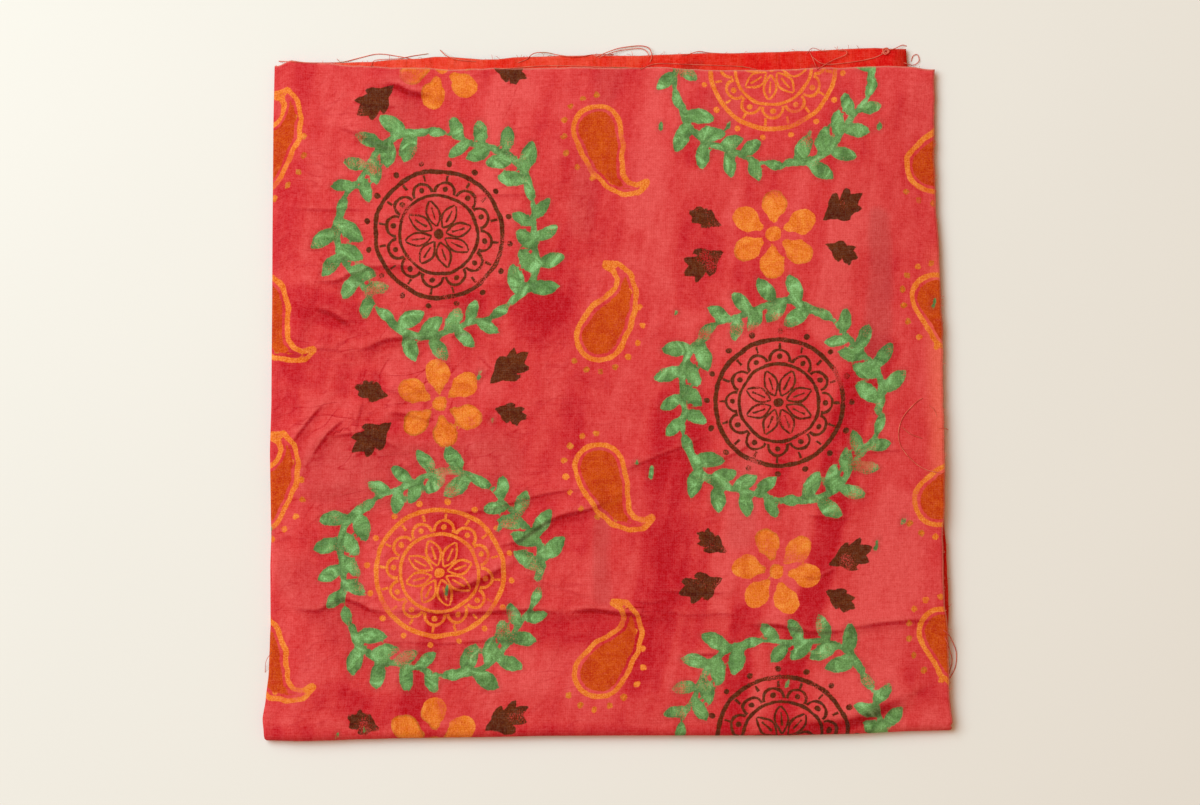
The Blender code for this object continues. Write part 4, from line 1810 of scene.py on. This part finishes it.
class CutEdge(Finish):
    """The raw edge: paler ends of yarn, side by side."""

    name = "printed_cotton_cut_edge"
    colours: Stops = ((0.3, ink(206, 60, 50)), (0.55, ink(232, 112, 92)), (0.75, ink(244, 160, 136)))

    def look(self, graph: Graph) -> tuple[object, ...]:
        """Speckle the edge with yarn ends."""
        ends = graph.noise(graph.cloth_place(), 0.6, 2.0, 0.6)
        return graph.ramp(ends, self.colours), ends * 0.15 + 0.8, graph.bump(ends, 0.12)


class YarnFinish(Finish):
    """Loose yarn: red, lighter and darker along its length, a little hairy."""

    name = "cotton_yarn"
    specular = 0.25
    colours: Stops = ((0.35, ink(208, 74, 58)), (0.62, ink(236, 122, 96)))
    painted: Colour = ink(150, 128, 74)

    def look(self, graph: Graph) -> tuple[object, ...]:
        """Vary the yarn along its length."""
        place = graph.object_place()
        tone = graph.noise(place, 3.0 * MM, 2.0, 0.6, 0.0, "3D")
        spots = graph.ease(graph.noise(place, 14.0 * MM, 1.0, 0.5, 0.0, "3D"), 0.62, 0.68)
        twist = graph.noise(place, 0.12 * MM, 1.0, 0.5, 0.0, "3D")
        colour = graph.mix(spots * 0.5, graph.ramp(tone, self.colours), self.painted)
        return colour, twist * 0.2 + 0.75, graph.bump(twist, 0.04)


class TableTop(Finish):
    """The plain pale top that the cloth lies on."""

    name = "pale_table"
    specular = 0.1
    colours: Stops = ((0.3, ink(241, 237, 228)), (0.7, ink(244, 240, 231)))

    def look(self, graph: Graph) -> tuple[object, ...]:
        """Cloud the top a little."""
        clouds = graph.noise(graph.object_place(), 0.25, 2.0, 0.5, 0.0, "3D")
        return graph.ramp(clouds, self.colours), 0.9


# ---- Pieces ----


def linked(name: str, data: bpy.types.ID) -> bpy.types.Object:
    """Put a mesh, curve, light or camera in the scene as an object at the origin."""
    made = bpy.data.objects.new(name, data)
    bpy.context.scene.collection.objects.link(made)
    return made


def grid_mesh(name: str, spans: tuple[int, int], side: float) -> bpy.types.Mesh:
    """Make a flat square grid about the origin.

    Args:
        name: The mesh's name.
        spans: Number of spans across and along.
        side: The square's side.

    Returns:
        The mesh.
    """
    grid = bmesh.new()
    bmesh.ops.create_grid(grid, x_segments=spans[0], y_segments=spans[1], size=side / 2)
    mesh = bpy.data.meshes.new(name)
    grid.to_mesh(mesh)
    grid.free()
    return mesh


def evaluated_mesh(source: bpy.types.Object) -> bpy.types.Mesh:
    """Give an object's mesh with its modifiers, or its bevel, made real."""
    graph = bpy.context.evaluated_depsgraph_get()
    return bpy.data.meshes.new_from_object(source.evaluated_get(graph))


def read_whole(items: bpy.types.bpy_prop_collection, name: str) -> Array:
    """Read a whole number from each item of a mesh."""
    values = np.empty(len(items), np.int32)
    items.foreach_get(name, values)
    return values


def read_places(items: bpy.types.bpy_prop_collection, name: str, size: int) -> Array:
    """Read a place of two or three numbers from each item of a mesh, one place a row."""
    values = np.empty(len(items) * size, np.float32)
    items.foreach_get(name, values)
    return values.reshape(-1, size)


def write_points(mesh: bpy.types.Mesh, places: Array) -> None:
    """Move a mesh's points to places in metres."""
    mesh.vertices.foreach_set("co", places.astype(np.float32).ravel())
    mesh.update()


def write_map(mesh: bpy.types.Mesh, name: str, u: Array, v: Array) -> None:
    """Add a map to a mesh, with a place on it for each corner."""
    layer = mesh.uv_layers.new(name=name)
    layer.uv.foreach_set("vector", np.stack([u, v], axis=-1).astype(np.float32).ravel())


@dataclass
class BakeMap:
    """The second map of the sheet, on which no two faces overlap.

    The printed side, the wrong side and the raw edges each have a part of the square of
    their own, and the halves that show have most of it.

    Attributes:
        plan: The fold plan, for the flat cloth's lines.
        name: The map's name.
        columns: Where the hidden edge, the side fold and the right edge are across the map.
        printed_rows: Where the hidden edge, the near fold and the far edge are, for the printed side.
        wrong_rows: Where the hidden edge, the strip that shows and the far edge are, for the wrong side.
        strip: Width of that strip, in mm.
        rim_start: Where the raw edges start.
        rim_row: Height of each raw edge's row.
        on_edge: How near to an edge a corner is when it is on it, in mm.
    """

    plan: FoldPlan
    name: str = "OFBake"
    columns: tuple[float, ...] = (0.002, 0.2, 0.998)
    printed_rows: tuple[float, ...] = (0.002, 0.14, 0.865)
    wrong_rows: tuple[float, ...] = (0.870, 0.940, 0.980)
    strip: float = 14.0
    rim_start: float = 0.983
    rim_row: float = 0.004
    on_edge: float = 0.01

    def add_to(self, mesh: bpy.types.Mesh, base_count: int) -> None:
        """Add the map.

        Args:
            mesh: The sheet with its thickness.
            base_count: How many of its points are on the printed side.
        """
        s, t = read_places(mesh.uv_layers[FLAT_MAP].uv, "vector", 2).T.astype(float)
        sizes = read_whole(mesh.polygons, "loop_total")
        slot = np.repeat(read_whole(mesh.polygons, "material_index"), sizes)
        wrong_side = (read_whole(mesh.loops, "vertex_index") >= base_count).astype(float)

        (left, right), (near, far) = self.plan.across.ends, self.plan.along.ends
        across = np.interp(s, [left, right - self.plan.width, right], self.columns)
        along = np.interp(t, [near, far - self.plan.depth, far], self.printed_rows)
        behind = np.interp(t, [near, far - self.strip, far], self.wrong_rows)

        touching = (t > far - self.on_edge, t < near + self.on_edge, s > right - self.on_edge)
        on_far, on_near, on_right = (self.whole_faces(corners, sizes) for corners in touching)
        round_rim = np.where(on_far | on_near, (s - left) / (right - left), (t - near) / (far - near))
        row = np.select([on_far, on_near, on_right], [0.0, 1.0, 2.0], 3.0)
        ring = self.columns[0] + (self.columns[-1] - self.columns[0]) * round_rim
        rim = self.rim_start + (row + 0.15 + 0.7 * wrong_side) * self.rim_row

        cut = slot == Face.CUT_EDGE.value
        sides = np.where(slot == Face.PRINTED.value, along, behind)
        write_map(mesh, self.name, np.where(cut, ring, across), np.where(cut, rim, sides))

    def whole_faces(self, corners: Array, sizes: Array) -> Array:
        """Say for each corner whether all the corners of its face are among those given."""
        starts = np.concatenate([[0], np.cumsum(sizes)[:-1]])
        return np.repeat(np.logical_and.reduceat(corners, starts), sizes)


@dataclass
class ClothSheet:
    """The folded cloth itself: one sheet with its creases, dye and print.

    Attributes:
        plan: How it is folded.
        relief: Its creases and waves.
        dye: Its ground colour.
        block_print: Its print.
        rub_and_shade: How much paler a place is for each mm that it stands proud, and darker for each mm
            that it lies low: abrasion and painted light and shade.
        rub_and_shade_range: The least and the most that it can stand proud, in mm.
        name: The piece's name.
    """

    plan: FoldPlan = field(default_factory=FoldPlan)
    relief: Relief = field(default_factory=Relief)
    dye: DyeBath = field(default_factory=DyeBath)
    block_print: BlockPrint = field(default_factory=BlockPrint)
    rub_and_shade: float = 0.9
    rub_and_shade_range: Place = (-0.6, 0.8)
    name: str = "printed_cloth"

    def grid_lines(self, mesh: bpy.types.Mesh) -> tuple[Array, Array]:
        """Find each point's grid line across and along, on the flat grid that is two wide."""
        places = read_places(mesh.vertices, "co", 3)
        column, row = ((places[:, way] + 1) / 2 * self.plan.spans[way] for way in (0, 1))
        return np.rint(column).astype(int), np.rint(row).astype(int)

    def centred(self, places: Array) -> Array:
        """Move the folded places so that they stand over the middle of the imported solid's box."""
        low, high = places.min(axis=0), places.max(axis=0)
        low[:2] -= self.plan.sheet / 2
        wanted = (CAD_BOX[0] + CAD_BOX[1]) / 2 / MM
        places[:, 0] += wanted.x - (low[0] + high[0]) / 2
        places[:, 1] += wanted.y - (low[1] + high[1]) / 2
        return places

    def write(self, mesh: bpy.types.Mesh, name: str, values: Array) -> None:
        """Keep a number or a vector for each point of the mesh."""
        if values.ndim == 1:
            attribute = mesh.attributes.new(name, "FLOAT", "POINT")
            attribute.data.foreach_set("value", values.astype(np.float32))
        else:
            attribute = mesh.attributes.new(name, "FLOAT_VECTOR", "POINT")
            attribute.data.foreach_set("vector", values.astype(np.float32).ravel())

    def mark(self, mesh: bpy.types.Mesh, column: Array, row: Array, places: Array) -> None:
        """Write the flat cloth's map, its dye with the painted light and shade of its relief, its creases
        and print on the mesh.

        Args:
            mesh: The sheet's mesh, before it has its thickness.
            column: Grid line across, for each point.
            row: Grid line along, for each point.
            places: Where each point ends up, in mm.
        """
        s, t = self.plan.across.flat[column], self.plan.along.flat[row]
        x, y = places[:, 0], places[:, 1]
        point = read_whole(mesh.loops, "vertex_index")
        write_map(mesh, FLAT_MAP, s[point], t[point])

        top = self.plan.across.turn[column] * self.plan.along.turn[row]
        depth = blend(self.dye.elsewhere(s, t), self.dye.depth(x, y, DYE_AND_SHADE_BANDS), smooth_step(top))
        # Abrasion and painted light and shade: paler where a place stands proud, darker where it lies low.
        depth -= self.rub_and_shade * np.clip(self.relief.proud(x, y), *self.rub_and_shade_range)
        dull = self.dye.depth(x, y, DULL_BANDS)
        crumple = self.relief.crumple_share(x, y)
        self.write(mesh, DYE_SHADE_CRUMPLE, np.stack([depth, dull, crumple], axis=-1))
        for name, creases in CREASE_LINES.items():
            lines = self.relief.lines(x, y, creases)
            lines[:, 1] *= top
            self.write(mesh, name, lines)
        impressions = self.block_print.printed(s, t)
        for plate, distance in impressions.plates.items():
            self.write(mesh, plate.value, distance)
        self.write(mesh, ROSETTE, impressions.rosette)

    def build(self) -> bpy.types.Object:
        """Fold the sheet, give it its thickness and dress it."""
        mesh = grid_mesh(self.name, self.plan.spans, 2.0)
        mesh.shade_smooth()
        column, row = self.grid_lines(mesh)
        places = self.centred(self.plan.folded(self.relief, column, row))
        self.mark(mesh, column, row, places)
        write_points(mesh, places * MM)
        sheet = linked(self.name, mesh)
        for finish in (PrintedSide(self.plan), WrongSide(self.plan), CutEdge()):
            mesh.materials.append(finish.material())
        thickness = sheet.modifiers.new("thickness", "SOLIDIFY")
        thickness.thickness = self.plan.sheet * MM
        thickness.offset = 0.0
        thickness.use_even_offset = False
        thickness.use_rim = True
        thickness.material_offset = Face.WRONG_SIDE.value
        thickness.material_offset_rim = Face.CUT_EDGE.value
        solid = evaluated_mesh(sheet)
        sheet.modifiers.clear()
        sheet.data = solid
        solid.name = self.name
        BakeMap(self.plan).add_to(solid, len(mesh.vertices))
        self.seat(solid)
        return sheet

    def seat(self, mesh: bpy.types.Mesh) -> None:
        """Bring the underside down, or up, to the surface that the cloth lies on."""
        places = read_places(mesh.vertices, "co", 3)
        places[:, 2] -= places[:, 2].min()
        write_points(mesh, places)


@dataclass(frozen=True)
class YarnRoute:
    """One loose yarn, drawn in mm from the cloth's middle.

    Attributes:
        route: The points that it passes.
        radius: Half its thickness.
        lift: How far it arches off what it lies on.
    """

    route: Route
    radius: float
    lift: float = 0.0


LOOSE_YARNS: tuple[YarnRoute, ...] = (
    YarnRoute(((-110, 111.5), (-101, 110.8), (-94, 110.8), (-88.5, 111.2), (-82.5, 112.7), (-76.5, 113.9),
               (-69.5, 113.0), (-65.5, 112.2)), 0.14),
    YarnRoute(((-79, 109.5), (-77.5, 111.7), (-70, 112.3), (-65.5, 113.2), (-60, 114)), 0.13),
    YarnRoute(((-56, 115.2), (-53.5, 113), (-49.5, 111.7), (-44, 111.2)), 0.14, 0.3),
    YarnRoute(((-30, 110.8), (-27, 112.0), (-24.5, 114), (-20.5, 114.3), (-16, 113.3), (-10.5, 112.8),
               (-4, 113.6), (2, 113.8)), 0.15, 0.3),
    YarnRoute(((-4, 112.7), (1.5, 115), (5, 116), (11, 116.6), (14, 115.6), (14.8, 113.0),
               (14.2, 111.0)), 0.16, 0.4),
    YarnRoute(((-3, 112.4), (2, 114.4), (6, 115.3), (11, 115.7), (13.2, 114.6), (13.8, 112.8)), 0.13, 0.2),
    YarnRoute(((25, 113.2), (27.5, 113.8), (30.5, 114.7), (34, 114.3), (37.5, 114.1)), 0.13),
    YarnRoute(((-36, 108.6), (-20, 109.8), (-2, 109.4), (12, 109.0)), 0.12),
    YarnRoute(((11, 108.5), (16.5, 110.5), (28, 110.2), (43.5, 109.6), (49.5, 108.6)), 0.13),
    YarnRoute(((67.3, 114.8), (68.4, 112.5), (69.0, 111), (70, 108.6)), 0.12, 0.4),
    YarnRoute(((66.5, 113.8), (68.5, 115.7), (71.5, 114.8), (74, 114.7)), 0.10, 0.3),
    YarnRoute(((70, 108.5), (75, 111.5), (79.5, 113.4), (79.6, 114.8), (77, 114.9)), 0.12, 0.4),
    YarnRoute(((68, 113), (72.5, 110.3), (81.5, 111), (88.5, 112.3), (92.5, 114)), 0.12, 0.3),
    YarnRoute(((91.6, 113.9), (93.2, 115.3), (94.0, 114.4), (92.6, 113.6), (92.0, 115.2), (93.6, 115.6),
               (93.4, 114.0), (92.2, 114.6)), 0.22, 0.5),
    YarnRoute(((93, 114.8), (96, 115.6), (98.5, 116.8), (100, 116.6)), 0.14, 0.2),
    YarnRoute(((99, 110.8), (101, 110.2), (102.5, 110.2), (104.2, 111.6), (103.6, 113.7), (102.2, 113.2),
               (101.6, 111.4)), 0.13, 0.3),
    YarnRoute(((112, -78.5), (113.6, -80), (115, -82), (116.6, -86), (116.4, -91),
               (114.6, -95)), 0.15, 0.2),
    YarnRoute(((112.5, -81), (114.2, -85), (115.2, -89), (114.4, -93.5)), 0.13, 0.1),
    YarnRoute(((105, -1.2), (103, -2.5), (98.8, -7), (97, -12), (97.6, -17), (101.5, -22), (106, -25),
               (111.5, -26.3)), 0.14, 0.1),
    YarnRoute(((98.2, -11), (101, -13.2), (104.8, -14.6)), 0.14, 0.1),
    YarnRoute(((107.3, -3.6), (108.8, -5), (109.8, -7.3)), 0.11, 0.1),
    YarnRoute(((110.5, -11.3), (112.2, -11.2), (114, -11.8)), 0.09, 0.1),
    YarnRoute(((-112, -86), (-114, -89), (-114.6, -93)), 0.09, 0.1),
)


@dataclass
class YarnMaker:
    """Lays yarns on the cloth and the table and makes them one mesh.

    Attributes:
        cloth: The piece that they lie on.
        roundness: How round a yarn is, as a curve's bevel resolution.
        steps: Points for each span of a yarn's route.
        tightenings: How many times a yarn is drawn tight over what is under it.
        feeler: How high over the table the cloth is felt from, in metres.
    """

    cloth: bpy.types.Object
    roundness: int = 1
    steps: int = 6
    tightenings: int = 40
    feeler: float = 0.1
    tree: BVHTree = field(init=False)

    def __post_init__(self) -> None:
        """Get the cloth ready to be felt from above."""
        self.tree = BVHTree.FromObject(self.cloth, bpy.context.evaluated_depsgraph_get())

    def surface(self, x: float, y: float) -> float:
        """Find how high the cloth, or the bare table, is at a place, all in mm."""
        hit = self.tree.ray_cast(Vector((x * MM, y * MM, self.feeler)), Vector((0.0, 0.0, -1.0)))[0]
        return hit.z / MM if hit is not None else 0.0

    def laid(self, yarn: YarnRoute) -> Array:
        """Lay a yarn over what is under it, bridging steps as a stiff yarn does.

        Args:
            yarn: The yarn.

        Returns:
            A row of x, y and z in mm for each point.
        """
        route = smooth_route(yarn.route, self.steps)
        floor = np.array([self.surface(x, y) + yarn.radius for x, y in route])
        height = floor.copy()
        for _ in range(self.tightenings):
            bridged = height.copy()
            bridged[1:-1] = (height[:-2] + height[2:]) / 2
            height = np.maximum(floor, bridged)
        arch = yarn.lift * np.sin(np.linspace(0, math.pi, len(route)))
        return np.column_stack([route, height + arch])

    def mesh(self, name: str, yarns: Sequence[tuple[Array, float]]) -> bpy.types.Object:
        """Make one piece of many yarns.

        Args:
            name: The piece's name.
            yarns: Each yarn's points in mm and its radius.

        Returns:
            The piece.
        """
        curve = bpy.data.curves.new(name, "CURVE")
        curve.dimensions = "3D"
        curve.bevel_depth = MM
        curve.bevel_resolution = self.roundness
        curve.use_fill_caps = True
        for points, radius in yarns:
            spline = curve.splines.new("POLY")
            spline.points.add(len(points) - 1)
            for point, place in zip(spline.points, points):
                point.co = (*(place * MM), 1.0)
                point.radius = radius
        draft = linked(name, curve)
        mesh = evaluated_mesh(draft)
        bpy.data.objects.remove(draft)
        mesh.name = name
        mesh.materials.clear()
        mesh.materials.append(YarnFinish().material())
        mesh.shade_smooth()
        return linked(name, mesh)


@dataclass
class LooseYarns:
    """The yarns that have come away from the raw edges."""

    name: str = "loose_yarns"

    def build(self, maker: YarnMaker) -> bpy.types.Object:
        """Lay every loose yarn."""
        return maker.mesh(self.name, [(maker.laid(yarn), yarn.radius) for yarn in LOOSE_YARNS])


@dataclass(frozen=True)
class FuzzyEdge:
    """A raw edge that yarn ends stand out of.

    Attributes:
        layer: The layer that it is on.
        far: True on the far edge, False on the right one.
        ends: How many yarn ends it has.
        longest: Length of the longest one, in mm.
    """

    layer: Layer
    far: bool
    ends: int
    longest: float


@dataclass
class EdgeFringe:
    """The short ends of yarn along the raw edges.

    Attributes:
        edges: The edges that have them.
        radius: Half the thickness of an end, in mm.
        bare: How many grid lines at each end of an edge have none.
        lean: How much an end leans to one side, in radians, as a standard deviation.
        bend: How much it bends, in the same way.
        name: The piece's name.
    """

    edges: tuple[FuzzyEdge, ...] = (
        FuzzyEdge(Layer.TOP, True, 34, 1.0),
        FuzzyEdge(Layer.SECOND, True, 60, 1.8),
        FuzzyEdge(Layer.TOP, False, 44, 1.2),
        FuzzyEdge(Layer.SECOND, False, 34, 1.5),
        FuzzyEdge(Layer.THIRD, True, 16, 1.5),
        FuzzyEdge(Layer.LOWEST, True, 16, 1.5),
        FuzzyEdge(Layer.LOWEST, False, 30, 1.5),
    )
    radius: float = 0.06
    bare: int = 3
    lean: float = 0.55
    bend: float = 0.6
    name: str = "edge_fringe"

    def edge_points(self, sheet: ClothSheet, edge: FuzzyEdge, mesh: bpy.types.Mesh) -> Array:
        """Read where an edge ended up, from the sheet's own mesh, in mm."""
        across, along = sheet.plan.across, sheet.plan.along
        rows, columns = len(along.flat), len(across.flat)
        grid = read_places(mesh.vertices, "co", 3)[: rows * columns].reshape(rows, columns, 3) / MM
        outer, over = edge.layer.value
        shown = slice(self.bare, -self.bare)
        if edge.far:
            return grid[-1 if over else 0, np.where(across.turn == outer)[0][shown]]
        return grid[np.where(along.turn == over)[0][shown], -1 if outer else 0]

    def build(self, maker: YarnMaker, sheet: ClothSheet) -> bpy.types.Object:
        """Grow the ends out of their edges."""
        draw = np.random.default_rng(51)
        yarns = []
        for edge in self.edges:
            points = self.edge_points(sheet, edge, maker.cloth.data)
            outward = math.pi / 2 if edge.far else 0.0
            for place in draw.uniform(0, len(points) - 1.001, edge.ends):
                index = int(place)
                root = blend(points[index], points[index + 1], place - index)
                turn = outward + draw.normal(0, self.lean)
                length = edge.longest * draw.uniform(0.25, 1.0) ** 1.6
                bend = draw.normal(0, self.bend)
                rise = draw.uniform(-0.25, 0.35)
                yarns.append((self.end(root, turn, length, bend, rise), self.radius))
        return maker.mesh(self.name, yarns)

    def end(self, root: Array, turn: float, length: float, bend: float, rise: float) -> Array:
        """Bend one end out of its root."""
        points = []
        for share in (-0.25, 0.0, 0.35, 0.7, 1.0):
            angle = turn + bend * share
            reach = length * share
            height = max(self.radius, root[2] + rise * length * share)
            points.append((root[0] + reach * math.cos(angle), root[1] + reach * math.sin(angle), height))
        return np.array(points)


# ---- Stage ----


@dataclass
class Studio:
    """The table, the light and the camera, in metres.

    Attributes:
        table_side: Side of the table.
        lamp_place: Where the soft lamp hangs.
        lamp_side: Side of the lamp.
        lamp_power: Its power in watts.
        lamp_colour: Its colour.
        sky: Strength of the light from all round.
        sky_colour: The colour of that light.
        camera_place: Where the camera hangs, looking straight down.
        view_height: The height at which its view is measured.
        view_width: Width of what it sees at that height.
        sensor_width: Width of its sensor, in mm.
    """

    table_side: float = 24.0
    lamp_place: tuple[float, float, float] = (-0.838, 0.587, 1.358)
    lamp_side: float = 1.4
    lamp_power: float = 33.7
    lamp_colour: tuple[float, float, float] = (0.685, 0.887, 1.0)
    sky: float = 0.44
    sky_colour: Colour = (1.0, 0.60, 0.33, 1.0)
    camera_place: tuple[float, float, float] = (-0.0025, -0.0027, 1.305)
    view_height: float = 0.005
    view_width: float = 0.400
    sensor_width: float = 36.0

    def table(self) -> bpy.types.Object:
        """Make the table's top."""
        mesh = grid_mesh("table_top", (4, 4), self.table_side)
        mesh.materials.append(TableTop().material())
        return linked("table_top", mesh)

    def lamp(self) -> None:
        """Hang the lamp and aim it at the cloth."""
        light = bpy.data.lights.new("soft_lamp", "AREA")
        light.size = self.lamp_side
        light.energy = self.lamp_power
        light.color = self.lamp_colour
        lamp = linked("soft_lamp", light)
        lamp.location = self.lamp_place
        lamp.rotation_euler = (-Vector(self.lamp_place)).to_track_quat("-Z", "Y").to_euler()

    def surroundings(self) -> None:
        """Fill in with pale light from all round."""
        world = bpy.data.worlds.new("pale_room")
        world.use_nodes = True
        sky = world.node_tree.nodes["Background"]
        sky.inputs["Color"].default_value = self.sky_colour
        sky.inputs["Strength"].default_value = self.sky
        bpy.context.scene.world = world
        bpy.context.scene.view_settings.view_transform = "Standard"

    def camera(self) -> None:
        """Hang the camera over the cloth, square to it."""
        lens = bpy.data.cameras.new("overhead")
        lens.sensor_width = self.sensor_width
        lens.lens = self.sensor_width * (self.camera_place[2] - self.view_height) / self.view_width
        camera = linked("overhead", lens)
        camera.location = self.camera_place
        bpy.context.scene.camera = camera

    def build(self) -> None:
        """Set the stage."""
        self.lamp()
        self.surroundings()
        self.camera()
        self.table()


def report(piece: bpy.types.Object) -> None:
    """Log a piece's name and how many triangles it has."""
    triangles = sum(len(polygon.vertices) - 2 for polygon in piece.data.polygons)
    LOG.info("%s: %d triangles", piece.name, triangles)


def main() -> None:
    """Build the cloth, its yarns and the stage, and say what each one is."""
    logging.basicConfig(level=logging.INFO, format="%(name)s: %(message)s")
    sheet = ClothSheet()
    cloth = sheet.build()
    maker = YarnMaker(cloth)
    loose_yarns = LooseYarns().build(maker)
    edge_fringe = EdgeFringe().build(maker, sheet)
    for piece in (cloth, loose_yarns, edge_fringe):
        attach(piece, BODY)
        report(piece)
    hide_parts(CAD_NODE)
    Studio().build()


if __name__ == "__main__":
    main()
